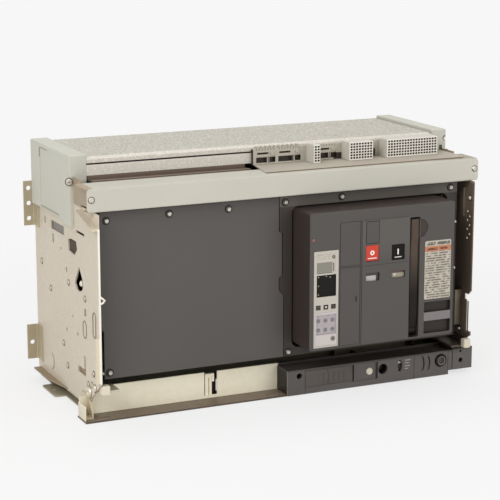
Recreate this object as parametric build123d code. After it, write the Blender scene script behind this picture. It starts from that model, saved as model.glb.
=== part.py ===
from build123d import *
import os
from math import cos, hypot, radians, sin

# Three-pole withdrawable air circuit breaker in its chassis, in millimetres.
# X runs across the front (right is +), the control face looks towards -Y, Z is up.
# The origin is the bottom centre of the whole part.

# Overall sizes
chassis_width = 786.0          # over the two side plates
side_top = 440.0               # feet to the top of the side plates
cheek_rise = 39.0              # end cheeks above the side plates
overall_height = side_top + cheek_rise
face_to_rear = 395.0           # control face to the rear mounting plane
connector_reach = 62.0         # power connectors behind the rear mounting plane
rear_plane = (face_to_rear + connector_reach) / 2 - connector_reach
half_width = chassis_width / 2

# Clearances
seat = 0.3                     # between pieces that meet without sharing a body
bore_gap = 0.08                # radial gap of a shaft in its bore
slide_gap = 0.5                # a piece that slides beside another

# Sheet thicknesses
side_sheet = 3.0
beam_sheet = 2.5
base_sheet = 3.0
front_sheet = 3.0


def depth(distance):
    """Y of a plane that lies this far in front of the rear mounting plane."""
    return rear_plane - distance


# Side plates
side_front = depth(364.0)
side_rear = depth(0.0)
side_bottom = 20.0
right_front = side_front + 9.0
side_inner = half_width - side_sheet
side_arm_rear = depth(275.0)

# Top beam
beam_front = depth(345.0)
beam_rear = depth(281.5)
beam_half = 405.8
beam_bottom = 392.6
beam_top = 435.7

# Front plane of the breaker
fascia_front = depth(324.0)
fascia_half = 372.0
fascia_bottom = 76.0
fascia_top = 388.0
window_left = 10.0
window_right = 350.0
window_bottom = 92.0
window_top = 368.0
window_radius = 14.0

# Control cover
cover_front = depth(face_to_rear)
cover_left = 13.0
cover_right = 325.5
cover_bottom = 100.8
cover_top = 365.5
cover_wall = 3.0
cover_rear = fascia_front + front_sheet + 22.0

# Base
flange_front = depth(337.5)
upright_front = depth(293.5)
upright_top = 55.0
flange_left = -413.5
flange_right = 351.0

# Racking block
block_left = -6.0
block_right = beam_half
block_front = depth(341.5)
block_rear = upright_front
block_top = 50.0
block_step = 351.0
block_toe = 9.0
screw_x = 202.0
screw_z = 30.0
socket_radius = 10.5

# Poles: three phases, two half poles side by side for each
pole_pitch = 115.0
pole_count = 6
line_z = 300.0
load_z = 150.0
bar_width = 82.0
bar_thick = 15.0


def rect(a0, a1, b0, b1):
    return Pos((a0 + a1) / 2, (b0 + b1) / 2) * Rectangle(a1 - a0, b1 - b0)


def rounded(a0, a1, b0, b1, r):
    return Pos((a0 + a1) / 2, (b0 + b1) / 2) * RectangleRounded(a1 - a0, b1 - b0, r)


def disc(a, b, r):
    return Pos(a, b) * Circle(r)


def slot_across(a, b, length, width):
    return Pos(a, b) * SlotOverall(length, width)


def slot_up(a, b, length, width):
    return Pos(a, b) * SlotOverall(length, width, rotation=90)


def outline(*points):
    return make_face(Polyline(*points, close=True))


def from_side(x, sketch, thick):
    """Extrude a (Y, Z) sketch from X = x towards +X."""
    return extrude(Plane.YZ.offset(x) * sketch, thick)


def from_front(y, sketch, thick):
    """Extrude an (X, Z) sketch from Y = y towards the rear."""
    return extrude(Plane.XZ.offset(-y) * sketch, -thick)


def from_top(z, sketch, thick):
    """Extrude an (X, Y) sketch from Z = z upwards."""
    return extrude(Plane.XY.offset(z) * sketch, thick)


def block(x0, x1, y0, y1, z0, z1):
    return from_top(z0, rect(x0, x1, y0, y1), z1 - z0)


def rod_x(x0, x1, y, z, r):
    return from_side(x0, disc(y, z, r), x1 - x0)


def rod_y(y0, y1, x, z, r):
    return from_front(y0, disc(x, z, r), y1 - y0)


def rod_z(z0, z1, x, y, r):
    return from_top(z0, disc(x, y, r), z1 - z0)


def mirrored(solid):
    return mirror(solid, Plane.YZ)


def gather(solids):
    return Compound(children=list(solids))


def pole_centres():
    return [(index - (pole_count - 1) / 2) * pole_pitch for index in range(pole_count)]


def bar_places():
    return [(x, z) for x in pole_centres() for z in (line_z, load_z)]


# Chassis side plates: 3 mm sheet, the front edge hemmed, the top front corner cut on a slope
# with its edge folded outwards, and an arm that reaches into the top beam.
slope_rear = (side_arm_rear, beam_bottom - 5.6)
slope_front = (side_front, beam_bottom - 26.6)
arm_tip = beam_front + beam_sheet + seat
arm_top = beam_top - beam_sheet - slide_gap
arm_bottom = beam_bottom + beam_sheet + slide_gap
lip_rear = beam_front + 22.0
lip_below = beam_bottom - slide_gap
fold_reach = 12.0
tab_reach = beam_half - half_width - 0.8
hem_reach = 8.0
hem_low = 82.0
hem_high = 166.0
foot_flange_reach = 16.0
foot_flange_y = (depth(186.5), depth(16.5))
right_relief = (88.0, 163.0)
right_relief_depth = 20.0
toe_rear = depth(290.5)
toe_front = depth(318.0)
neck_z = 80.0
beam_screw_x = beam_half - 8.3
beam_screw_z = 416.0


def side_outline(relieved):
    points = [(side_rear, side_bottom), (side_rear, side_top), (side_arm_rear, side_top)]
    points += [(side_arm_rear, arm_top), (arm_tip, arm_top), (arm_tip, arm_bottom)]
    if relieved:
        low, high = right_relief
        step = right_front + right_relief_depth
        toe_z = block_top + 7.0
        points += [(lip_rear, arm_bottom), (lip_rear, lip_below), (right_front, lip_below)]
        points += [(right_front, high + 8), (right_front + 8, high), (step, high), (step, low)]
        points += [(right_front, low), (right_front, neck_z), (toe_front, toe_z), (toe_rear, toe_z)]
    else:
        points += [(side_arm_rear, arm_bottom), slope_rear, slope_front]
        points += [(side_front, neck_z), (toe_front, 44.0)]
    points.append((toe_rear, side_bottom))
    return outline(*points)


# Openings of a side plate as (Y, Z): lightening windows, slots for the shutter drive and small holes
upper_window = ((-31.0, 317.0), (-48.0, 321.0), (-77.0, 321.0), (-81.0, 306.0),
                (-66.0, 293.0), (-33.0, 296.0))
drop_window = ((-90.0, 277.0), (-112.0, 250.0), (-107.0, 236.0), (-92.0, 229.0), (-76.0, 230.0),
               (-65.0, 241.0), (-76.0, 257.0))
plate_slots = ((104.0, 330.0, 7.0, 14.0), (57.0, 302.0, 8.0, 18.0), (-19.0, 256.0, 6.0, 10.0),
               (-118.5, 196.0, 10.0, 14.0), (-112.5, 98.0, 8.0, 28.0), (-95.0, 79.0, 42.0, 12.0))
plate_holes = ((11.0, 291.0, 3.0), (-13.0, 139.0, 3.5), (-76.0, 145.0, 3.5), (-47.0, 172.0, 2.5))


def side_cutouts():
    cuts = [rect(-8.0, 68.0, 319.0, 336.0)]
    cuts += [slot_across(-100.0, 341.0, 46.0, 5.0)]
    cuts += [outline(*upper_window), outline(*drop_window)]
    cuts += [rect(y - wide / 2, y + wide / 2, z - high / 2, z + high / 2) for y, z, wide, high in plate_slots]
    cuts += [disc(y, z, r) for y, z, r in plate_holes]
    return Sketch() + cuts


def side_plate(relieved):
    """Left side plate; the right one is its mirror image with a relieved front edge and no fold."""
    x = -half_width
    plate = from_side(x, side_outline(relieved) - side_cutouts(), side_sheet)
    plate += block(x - tab_reach, x, arm_tip, arm_tip + side_sheet, arm_bottom, arm_top)
    y0, y1 = foot_flange_y
    flange = outline((x, y0), (x, y1), (x - foot_flange_reach, y1), (x - foot_flange_reach, (y0 + y1) / 2))
    plate += from_top(side_bottom, flange, side_sheet)
    plate -= rod_y(arm_tip - 1, arm_tip + side_sheet + 1, -beam_screw_x, beam_screw_z, 2.6)
    if relieved:
        for index in range(7):
            y = right_front + 18.5 - 8 * (index % 2)
            plate -= rod_x(x - 1, x + side_sheet + 1, y, 330.0 - 9.0 * index, 2.2)
        return mirrored(plate)
    run = (slope_rear[0] - slope_front[0], slope_rear[1] - slope_front[1])
    length = hypot(*run)
    down = (run[1] / length * side_sheet, -run[0] / length * side_sheet)
    fold = outline(slope_front, slope_rear, (slope_rear[0] + down[0], slope_rear[1] + down[1]),
                   (slope_front[0] + down[0], slope_front[1] + down[1]))
    plate += from_side(x - fold_reach, fold, fold_reach + side_sheet)
    plate += block(x - hem_reach, x, side_front, side_front + side_sheet, hem_low, hem_high)
    return plate


# Top beam: one folded sheet with its ends rounded, screwed to the arms of the side plates.
beam_corner = 7.0
beam_return = 20.0


def top_beam():
    profile = outline((beam_front, beam_bottom), (beam_front, beam_top), (beam_rear, beam_top),
                      (beam_rear, beam_top - beam_sheet), (beam_front + beam_sheet, beam_top - beam_sheet),
                      (beam_front + beam_sheet, beam_bottom + beam_sheet),
                      (beam_front + beam_return, beam_bottom + beam_sheet),
                      (beam_front + beam_return, beam_bottom))
    beam = from_side(-beam_half, profile, 2 * beam_half)
    fold = beam.edges().filter_by(Axis.X).group_by(Axis.Y)[0]
    beam = fillet(fold, 2.2)
    face_shape = rounded(-beam_half, beam_half, beam_bottom, beam_top, beam_corner)
    web_zone = block(-beam_half - 1, beam_half + 1, beam_front - 1, beam_front + beam_sheet + 0.01,
                     beam_bottom - 1, beam_top + 1)
    web_trim = web_zone - from_front(beam_front - 2, face_shape, beam_sheet + 4)
    beam -= web_trim
    plan = rect(-beam_half - 1, beam_half + 1, beam_front - 1, beam_rear + 1)
    plan -= rounded(-beam_half, beam_half, beam_front, beam_rear + 30, beam_corner)
    beam -= from_top(beam_top - beam_sheet - 0.01, plan, beam_sheet + 1)
    for hand in (-1, 1):
        beam -= rod_y(beam_front - 1, beam_front + beam_sheet + 1, hand * beam_screw_x, beam_screw_z, 3.0)
    return beam


# Base: a front channel with a slotted flange in front, a rear rail, foot rails and corner brackets.
notch_x = (-160.0, -133.0)
slot_places = (-376.0, -28.0)
slot_y = flange_front + 15.0
slot_length = 30.0
slot_width = 9.0
upright_half = side_inner - seat


def base_channel():
    web_rear = upright_front + base_sheet
    flange = from_top(0, rect(flange_left, flange_right, flange_front, web_rear), base_sheet)
    flange += from_top(0, rect(flange_right - 1, upright_half, upright_front, web_rear), side_bottom)
    face = rect(-upright_half, upright_half, 0, upright_top)
    face -= rect(notch_x[0], notch_x[1], base_sheet + 6, upright_top + 1)
    face -= disc(screw_x, screw_z, screw_shank + 1.5)
    face -= disc(knob_x, knob_z, crank_store_radius + 1.5)
    web = from_front(upright_front, face, base_sheet)
    floor = from_top(0, rect(-upright_half, upright_half, upright_front, upright_front + 40), base_sheet)
    channel = flange + web + floor
    for x in slot_places:
        channel -= from_top(-1, slot_across(x, slot_y, slot_length, slot_width), base_sheet + 2)
    return channel


rail_rear_y = (depth(62.0), depth(0.5))
rear_rail_top = 44.0


def rear_rail():
    """Rear cross rail that carries the insulating wall: a channel open to the front."""
    y0, y1 = rail_rear_y
    profile = outline((y0, 0), (y1, 0), (y1, rear_rail_top), (y0, rear_rail_top),
                      (y0, rear_rail_top - base_sheet), (y1 - base_sheet, rear_rail_top - base_sheet),
                      (y1 - base_sheet, base_sheet), (y0, base_sheet))
    return from_side(-upright_half, profile, 2 * upright_half)


foot_top = side_bottom - seat
foot_front = upright_front + 40 + seat
foot_rear = rail_rear_y[0] - seat
foot_hole_radius = 4.5
foot_reach = 20.0


def foot_rail():
    """Left foot rail: a Z section under the side plate with a short outward foot."""
    top = block(-half_width, -half_width + 34, foot_front, foot_rear, foot_top - base_sheet, foot_top)
    web = block(-half_width + 31, -half_width + 34, foot_front, foot_rear, 0, foot_top)
    sole = block(-half_width + 2, -half_width + 34, foot_front, foot_rear, 0, base_sheet)
    foot = from_top(0, rounded(-half_width - foot_reach, -half_width + 12, depth(157.5), depth(77.5), 5),
                    base_sheet)
    foot -= from_top(-1, disc(-half_width - 10, depth(117.5), foot_hole_radius), base_sheet + 2)
    return top + web + sole + foot


corner_height = 42.0
corner_y = (depth(322.0), depth(300.0), depth(262.0))


def corner_bracket():
    """Left corner bracket that ties the side plate to the base flange."""
    x = -half_width - seat
    toe_y, knee_y, heel_y = corner_y
    upright = outline((toe_y, base_sheet), (heel_y, base_sheet), (heel_y, corner_height),
                      (knee_y, corner_height), (toe_y, base_sheet + 12))
    leaf = from_side(x - base_sheet, upright, base_sheet)
    leaf -= rod_x(x - base_sheet - 1, x + 1, heel_y - 18, 28.0, 4.3)
    sole = block(x - 17, x, toe_y, knee_y - 4, base_sheet, 2 * base_sheet)
    return leaf + sole


# Rear mounting brackets: four L angles on the outside of the side plates.
bracket_zones = ((308.0, 396.0), (37.0, 107.0))
bracket_flange = 23.0
bracket_web = 30.0
bracket_hole_z = (322.0, 352.0, 382.0)
bracket_low_hole_z = (71.0,)
bracket_hole_x = half_width + bracket_flange - 10.0
bracket_hole_r = 4.5


def bracket(z0, z1, holes):
    x = -half_width
    web = block(x - base_sheet, x, side_rear - bracket_web, side_rear, z0, min(z1, cheek_low - 1))
    flange = block(x - bracket_flange, x, side_rear - base_sheet, side_rear, z0, z1)
    angle = web + flange
    inner = angle.edges().filter_by(Axis.Z).sort_by_distance((x - base_sheet, side_rear - base_sheet, z0))[0]
    angle = fillet(inner, 2.0)
    for z in holes:
        angle -= rod_y(side_rear - base_sheet - 1, side_rear + 1, -bracket_hole_x, z, bracket_hole_r)
    return angle


def mounting_brackets():
    left = [bracket(*bracket_zones[0], bracket_hole_z), bracket(*bracket_zones[1], bracket_low_hole_z)]
    return left + [mirrored(item) for item in left]


# Insulating rear wall with a window for each power connector and ribs between the poles.
wall_front = depth(44.0)
wall_rear = depth(3.5)
wall_bottom = rear_rail_top + seat
wall_top = side_top - 8.0
window_height = 44.0
window_width = bar_width + 8.0
rib_reach = 12.0
panel_half = 40.0
panel_depth = 8.0


def rear_wall():
    wall = block(-side_inner + seat, side_inner - seat, wall_front, wall_rear, wall_bottom, wall_top)
    pockets = Sketch()
    for x, z in bar_places():
        pockets += rect(x - window_width / 2, x + window_width / 2,
                        z - window_height / 2, z + window_height / 2)
    wall -= from_front(wall_front - 1, pockets, wall_rear - wall_front - 11)
    holes = Sketch()
    for x, z in bar_places():
        holes += rect(x - bar_width / 2 - seat, x + bar_width / 2 + seat,
                      z - bar_thick / 2 - seat, z + bar_thick / 2 + seat)
    wall -= from_front(wall_front, holes, wall_rear - wall_front + 1)
    for index in range(pole_count + 1):
        x = (index - pole_count / 2) * pole_pitch
        wall += block(x - 3, x + 3, wall_rear - 1, wall_rear + rib_reach, 92.0, 360.0)
    panels = Sketch()
    between = (line_z + load_z) / 2
    for x in pole_centres():
        panels += rect(x - panel_half, x + panel_half, between - 27, between + 27)
        panels += rect(x - panel_half, x + panel_half, wall_top - 87, wall_top - 22)
    wall -= from_front(wall_rear - panel_depth, panels, panel_depth + 1)
    return wall


# Power connectors: copper bars that pass through the wall; the finger clusters grip them in front.
connector_rear = rear_plane + connector_reach
connector_front = depth(50.0)
blade_tip = depth(56.0)
finger_rear = depth(16.5)
finger_front = depth(84.0)
finger_thick = 7.0
finger_count = 5
stud_hole = 6.5
stud_spacing_x = 44.0
stud_spacing_y = 25.0
stud_rear_edge = 16.0


def connector(x, z):
    plan = rect(x - bar_width / 2, x + bar_width / 2, connector_front, connector_rear)
    for dx in (-stud_spacing_x / 2, stud_spacing_x / 2):
        for row in (0, 1):
            plan -= disc(x + dx, connector_rear - stud_rear_edge - row * stud_spacing_y, stud_hole)
    return from_top(z - bar_thick / 2, plan, bar_thick)


def finger_cluster(x, z):
    """Spring fingers above and below one bar, with a cage round them."""
    fingers = []
    pitch = (bar_width - 4) / finger_count
    y_mid = (connector_front + finger_rear) / 2
    y0 = finger_front
    profile = outline((y0, 3.0), (y0 + 6, 0), (finger_rear, 0), (finger_rear, finger_thick),
                      (y0 + 6, finger_thick), (y0, finger_thick - 2))
    for index in range(finger_count):
        left = x - (bar_width - 4) / 2 + index * pitch
        upper = from_side(left, Pos(0, z + bar_thick / 2 + seat) * profile, pitch - 1.2)
        lower = from_side(left, Pos(0, z - bar_thick / 2 - seat) * mirror(profile, Plane.XZ), pitch - 1.2)
        fingers += [upper, lower]
    reach = bar_thick / 2 + finger_thick + seat
    outer = rect(x - bar_width / 2 - 3, x + bar_width / 2 + 3, z - reach - 2, z + reach + 2)
    inner = rect(x - bar_width / 2 - 1, x + bar_width / 2 + 1, z - reach, z + reach)
    cluster = from_front(y_mid, outer - inner, 8)
    for finger in fingers:
        cluster += finger
    return cluster


# End cheeks: moulded caps that close the chassis above the side plates.
cheek_outer = 399.4
cheek_skin = cheek_outer - half_width - seat
cheek_inner = 366.0
cheek_front = depth(231.5)
cheek_low = side_top - 87.0
cheek_toe = side_top - 94.0
cheek_return_low = side_top - 22.0
cheek_rear = side_rear - base_sheet - seat
cheek_cap = 6.0
cheek_recess_y = (depth(166.5), depth(58.5))
cheek_recess_z = (side_top - 82.0, side_top + 30.0)
cheek_recess_depth = 1.2
cheek_screw_z = side_top - 9.0
cheek_screw_head = 7.0


def end_cheek():
    """Left end cheek."""
    x = -cheek_outer
    side = outline((cheek_front, overall_height), (cheek_rear, overall_height), (cheek_rear, cheek_low),
                   (depth(176.5), cheek_low), (depth(176.5), cheek_toe), (cheek_front, cheek_toe))
    skin = from_side(x, side, cheek_skin)
    cap = block(x, -cheek_inner, cheek_front, cheek_rear, overall_height - cheek_cap, overall_height)
    clear_z = side_top + seat
    front = rect(x, -cheek_inner, clear_z, overall_height)
    front += rect(-side_inner + seat, -cheek_inner, cheek_return_low, clear_z)
    lip = from_front(cheek_front, front, 4.0)
    rear = from_front(cheek_rear - 4.0, rect(x, -cheek_inner, clear_z, overall_height), 4.0)
    cheek = skin + cap + lip + rear
    edges = cheek.edges().filter_by(Axis.Y).group_by(Axis.Z)[-1].sort_by(Axis.X)[0:1]
    cheek = fillet(edges, 2.5)
    corner = cheek.edges().filter_by(Axis.Z).sort_by_distance((x, cheek_front, 420.0))[0]
    cheek = fillet(corner, 2.0)
    recess = rounded(cheek_recess_y[0], cheek_recess_y[1], cheek_recess_z[0], cheek_recess_z[1], 3)
    cheek -= from_side(x - 1, recess, 1 + cheek_recess_depth)
    return cheek


def cheek_screw(hand):
    """Slotted screw in the front edge of a cheek."""
    x = hand * (half_width + seat + cheek_screw_head)
    head_rear = cheek_front - seat
    head_front = head_rear - 6.0
    slot = block(x - 0.9, x + 0.9, head_front - 1, head_front + 1.4, cheek_screw_z - 8, cheek_screw_z + 8)
    return rod_y(head_front, head_rear, x, cheek_screw_z, cheek_screw_head) - slot


# Arc chute hood: a moulded cover with a grooved front, between the cheeks.
hood_half = cheek_inner - seat
hood_top = side_top + 34.0
hood_bottom = side_top - 1.0
hood_wall = 6.0
hood_front_wall = 9.0
hood_groove_z = hood_top - 13.0
hood_groove = (2.4, 5.0)
hood_rear = depth(5.0)
hood_rise = 4.0


def chute_hood():
    y0 = cheek_front
    outer = outline((y0, hood_bottom), (y0, hood_top - hood_rise), (y0 + 7, hood_top),
                    (hood_rear, hood_top), (hood_rear, wall_top + seat),
                    (hood_rear - hood_wall, wall_top + seat),
                    (hood_rear - hood_wall, hood_top - hood_wall),
                    (y0 + hood_front_wall, hood_top - hood_wall), (y0 + hood_front_wall, hood_bottom))
    hood = from_side(-hood_half, outer, 2 * hood_half)
    groove = block(-hood_half - 1, hood_half + 1, y0 - 1, y0 + hood_groove[1],
                   hood_groove_z - hood_groove[0] / 2, hood_groove_z + hood_groove[0] / 2)
    hood -= groove
    for index in range(1, pole_count):
        x = (index - pole_count / 2) * pole_pitch
        hood += block(x - 2, x + 2, y0 + hood_front_wall - 1, hood_rear - hood_wall + 1,
                      hood_top - hood_wall - 14, hood_top - hood_wall + 1)
    return hood


# Auxiliary terminals: shelf on the beam, a carrier with empty places, and three plug-in blocks.
shelf_thick = 1.5
shelf_z = beam_top + seat
shelf_front = depth(327.5)
shelf_rear = depth(237.0)
shelf_left = -46.0
shelf_right = 388.0
carrier_front = depth(241.5)
carrier_rear = cheek_front - seat
carrier_left = -33.0
carrier_right = 362.0
carrier_bottom = shelf_z + shelf_thick + seat
carrier_top = carrier_bottom + 30.2
terminal_front = depth(274.5)
terminal_rear = carrier_front - seat
terminal_bottom = carrier_bottom
terminal_top = terminal_bottom + 36.2
terminal_places = ((80.0, 94.0, 2), (157.0, 209.0, 8), (240.0, 354.0, 18))
wire_pitch = (6.15, 5.4)
wire_rows = 6
wire_hole = (3.0, 3.0)
wire_depth = 4.0
free_places = ((-27.0, 14.0), (20.0, 68.0), (104.0, 146.0))


def terminal_shelf():
    plate = outline((shelf_left, shelf_front), (shelf_right - 8, shelf_front), (shelf_right, shelf_front + 8),
                    (shelf_right, shelf_rear), (shelf_left + 15, shelf_rear))
    return from_top(shelf_z, plate, shelf_thick)


def terminal_carrier():
    body = block(carrier_left, carrier_right, carrier_front, carrier_rear, carrier_bottom, carrier_top)
    for left, right in free_places:
        y0 = carrier_front
        body -= block(left, right, y0 - 1, y0 + 7, carrier_bottom + 3, carrier_bottom + 13)
        body -= block(left + 2, left + 22, y0 - 1, y0 + 4, carrier_top - 11, carrier_top - 9)
        body += rod_y(y0 - 3, y0 + 1, right - 8, carrier_top - 9, 4.0)
        body += block(right - 18, right - 14, y0 - 2, y0 + 1, carrier_bottom, carrier_bottom + 14)
    tooth_count = int((free_places[1][1] - free_places[0][0]) / 9.5)
    for index in range(tooth_count):
        x = free_places[0][0] + 2 + index * 9.5
        body += block(x, x + 3.0, carrier_front, carrier_rear, carrier_top - 0.5, carrier_top + 4)
    return body


def terminal_block(x0, x1, columns):
    body = block(x0, x1, terminal_front, terminal_rear, terminal_bottom, terminal_top)
    rims = body.edges().group_by(Axis.Z)[-1]
    body = chamfer(rims, 1.5)
    middle = ((x0 + x1) / 2, (terminal_bottom + terminal_top) / 2)
    grid = GridLocations(wire_pitch[0], wire_pitch[1], columns, wire_rows)
    holes = Sketch() + [Pos(*middle) * spot * Rectangle(*wire_hole) for spot in grid.locations]
    body -= from_front(terminal_front - 1, holes, 1 + wire_depth)
    return body


# Racking block: moulded housing with the crank socket, release button, position window and crank storage.
end_block_x = 360.0
lock_zone = (30.0, 134.0, 14.0, 47.0)
button_recess = (140.0, 186.5, 12.0, 46.0)
button_x = 172.0
button_z = 29.0
button_radius = 7.0
indicator_x = 240.0
indicator_z = 32.0
knob_x = 333.0
knob_z = 32.0
knob_radius = 12.0
crank_store_radius = 5.0
screw_shank = 7.0
slot_dark_x = (136.0, 188.5)
skirt_drop = 2.0
lock_depth = 34.0
lamp_hole_x = 18.6
lamp_hole_z = 38.0
key_hole_x = 380.0
crank_length = 104.0


def racking_block():
    z0 = base_sheet + seat
    plan_front = rect(block_left, block_step, z0, block_top)
    plan_front += rect(block_step - 1, block_right, block_toe, block_top)
    plan_front += rect(end_block_x, block_right, block_top - 1, block_top + 3)
    body = from_front(block_front, plan_front, block_rear - seat - block_front)
    top_edge = body.edges().filter_by(Axis.X).group_by(Axis.Y)[0].group_by(Axis.Z)[-2]
    body = chamfer(top_edge, 2.5)
    body += block(block_left, block_step, block_front, flange_front - seat, base_sheet - skirt_drop, z0 + 1)
    body -= from_front(block_front - 1, lock_tongue(slide_gap), 1 + lock_depth + slide_gap)
    body -= from_front(block_front - 1, rounded(*lock_zone, 2), 2.0)
    body -= from_front(block_front - 1, rounded(*button_recess, 2), 3.0)
    for x in slot_dark_x:
        body -= block(x - 1.5, x + 1.5, block_front - 1, block_front + 9, 12, 47)
    body -= rod_y(block_front - 1, block_rear + 1, screw_x, screw_z, socket_radius)
    body -= rod_y(block_front - 1, block_rear + 1, button_x, button_z, button_radius + bore_gap)
    body -= rod_y(block_front - 1, block_front + 24, lamp_hole_x, lamp_hole_z, 6.0)
    window = Pos(indicator_x, indicator_z) * Ellipse(5.5, 12.0)
    body -= from_front(block_front - 1, window, 7.0)
    flag_bay = rect(indicator_x - 20, indicator_x + 20, indicator_z - 14, indicator_z + 14)
    body -= from_front(block_front + 5, flag_bay, block_rear - block_front)
    for x in (291.0, 304.0):
        groove = Pos(x, 30.0) * (Ellipse(5.5, 15.0) - Pos(-4.0, 0) * Ellipse(6.0, 16.0))
        body -= from_front(block_front - 1, groove, 6.0)
    body -= rod_y(block_front - 1, block_front + 8.5, knob_x, knob_z, knob_radius + 1.5)
    body -= rod_y(block_front + 5, block_rear + 1, knob_x, knob_z, crank_store_radius + bore_gap)
    body -= block(end_block_x - 1, end_block_x + 1, block_front - 1, block_front + 2, 5, 60)
    body -= rod_y(block_front - 1, block_front + 16, key_hole_x, 27.0, 5.0)
    body -= rod_y(block_front - 1, block_front + 10, key_hole_x - 1, 46.0, 2.6)
    return body


def lock_tongue(gap):
    x0, x1, z0, z1 = lock_zone
    return rect(x0 + 22 - gap, x1 - 22 + gap, z0 + 12 - gap, z1 - 12 + gap)


def lock_plate():
    """Padlock tab that slides out of the racking block; two lock pins show in front."""
    plate = from_front(block_front - 0.6, rounded(lock_zone[0] + 1, lock_zone[1] - 1, lock_zone[2] + 1,
                                                  lock_zone[3] - 1, 1.5), 1.3)
    for z in (lock_zone[2] + 5, lock_zone[3] - 6):
        plate += rod_y(block_front - 2.2, block_front, 80.0, z, 2.2)
    plate += from_front(block_front, lock_tongue(0), lock_depth)
    for x in (lock_zone[0] + 36, lock_zone[1] - 36):
        plate -= rod_z(lock_zone[2], lock_zone[3], x, block_front + 14, 4.0)
    return plate


def release_button():
    body = rod_y(block_front - 1.0, block_rear - 12, button_x, button_z, button_radius)
    return chamfer(body.edges().filter_by(GeomType.CIRCLE).group_by(Axis.Y)[0], 1.2)


def crank_handle():
    """Folded crank stored in the racking block, with its round knob in front."""
    knob = rod_y(block_front - 4.0, block_front + 8.0, knob_x, knob_z, knob_radius)
    knob = chamfer(knob.edges().filter_by(GeomType.CIRCLE).group_by(Axis.Y)[0], 1.6)
    knob -= rod_y(block_front - 5, block_front - 1, knob_x, knob_z, knob_radius - 5)
    shaft = rod_y(block_front + 8.0, block_front + crank_length, knob_x, knob_z, crank_store_radius)
    tip = from_front(block_front + crank_length,
                     Pos(knob_x, knob_z) * RegularPolygon(crank_store_radius, 6), 14.0)
    return knob + shaft + tip


indicator_travel = 12.0


def position_flag():
    """Plate behind the oval window that shows the racking position."""
    y0 = block_front + 5 + seat
    return block(indicator_x - 7 - indicator_travel, indicator_x + 7, y0, y0 + 2, indicator_z - 13.7,
                 indicator_z + 13.7)


# Racking screw and the carriage that it drives; the carriage pulls the breaker by two dogs.
screw_thread = 6.0
screw_front = block_front + 14.0
screw_rear = depth(168.0)
nut_y = (depth(212.0), depth(188.0))
carriage_z = (12.0, 46.0)
carriage_half = 358.0
dog_x = 300.0
dog_top = 66.0


def racking_screw():
    """Square-headed screw; a collar at the block takes the thrust."""
    head = from_front(screw_front, Pos(screw_x, screw_z) * Rectangle(9, 9, rotation=45), 16.0)
    collar = rod_y(screw_front + 16, block_rear - 2 * seat, screw_x, screw_z, socket_radius - bore_gap)
    neck = rod_y(block_rear - 2 * seat, upright_front + base_sheet + 4, screw_x, screw_z, screw_shank)
    thread = rod_y(upright_front + base_sheet + 4, screw_rear, screw_x, screw_z, screw_thread)
    return head + collar + neck + thread


def racking_carriage():
    y0, y1 = nut_y
    bar = block(-carriage_half, carriage_half, y0, y1, carriage_z[0], carriage_z[1])
    bar -= block(-carriage_half + 30, screw_x - 40, y0 - 1, y1 - 4, carriage_z[0] + 4, carriage_z[1] + 1)
    bar -= rod_y(y0 - 1, y1 + 1, screw_x, screw_z, screw_thread + bore_gap)
    for x in (-dog_x, dog_x):
        bar += block(x - 12, x + 12, y1 - 8, y1, carriage_z[1] - 1, dog_top)
        bar += block(x - 12, x + 12, y0, y1, carriage_z[1] - 1, carriage_z[1] + 4)
    bar -= block(knob_x - 9, knob_x + 9, y0 - 1, y1 + 1, knob_z - 9, carriage_z[1] + 1)
    for x in (-carriage_half - 7, carriage_half + 7):
        bar += block(x - 8, x + 8, y0, y1, foot_top + seat, carriage_z[1] - 6)
    return bar


# Extraction rails on the inside of the side plates, each with a pale pull at its front end.
rail_outer = side_inner - seat
rail_inner = 374.0
rail_ledge = 352.0
rail_z = (50.0, 74.0)
rail_front = side_front + 2.0
rail_rear = depth(95.0)
ledge_z = (58.0, 62.0)
roller_radius = 11.0


def extraction_rail():
    """Left rail: a channel towards the side plate with a running ledge inside."""
    profile = rect(-rail_outer, -rail_outer + 3, rail_z[0] + 8, rail_z[1])
    profile += rect(-rail_outer, -rail_ledge, ledge_z[0], ledge_z[1])
    rail = from_front(rail_front + 12.0, profile, rail_rear - rail_front - 12.0)
    end = from_front(rail_front + 12.0, rect(-rail_outer, -rail_inner, ledge_z[0], rail_z[1]), 3.0)
    rail += end
    for y in (depth(300.0), depth(200.0), depth(120.0)):
        rail -= from_side(-rail_outer - 1, slot_across(y, rail_z[1] - 4, 26, 4), 5)
    return rail


def rail_pull():
    body = from_front(rail_front, rounded(-rail_outer, -rail_inner, ledge_z[0] - 1, rail_z[1] + 1, 3), 12.0)
    return chamfer(body.edges().group_by(Axis.Y)[0], 1.5)


hook_top = 50.0
hook_thick = 6.0


def base_hook():
    """White interlock hook that stands in the notch of the base channel."""
    x0, x1 = notch_x
    shape = rect(x0 + 3, x1 - 5, base_sheet + seat, hook_top)
    shape -= rect(x0 + 10, x0 + 12, base_sheet, hook_top - 8)
    shape -= rect(x0 + 17, x1 - 9, base_sheet, hook_top - 4)
    shape -= rect(x0 + 17, x1, base_sheet, hook_top - 16)
    return from_front(upright_front + base_sheet + seat, shape, hook_thick)


# Shutters and their guides
shutter_front = depth(88.5)
shutter_rear = depth(86.5)
shutter_half = side_inner - seat
line_shutter_z = (324.0, 388.0)
load_shutter_z = (66.0, 126.0)


def shutter(z0, z1):
    plate = from_front(shutter_front, rect(-shutter_half, shutter_half, z0, z1), shutter_rear - shutter_front)
    for x in pole_centres():
        plate -= from_front(shutter_front - 1, slot_across(x, (z0 + z1) / 2, 34, 6), 5)
    return plate


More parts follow.
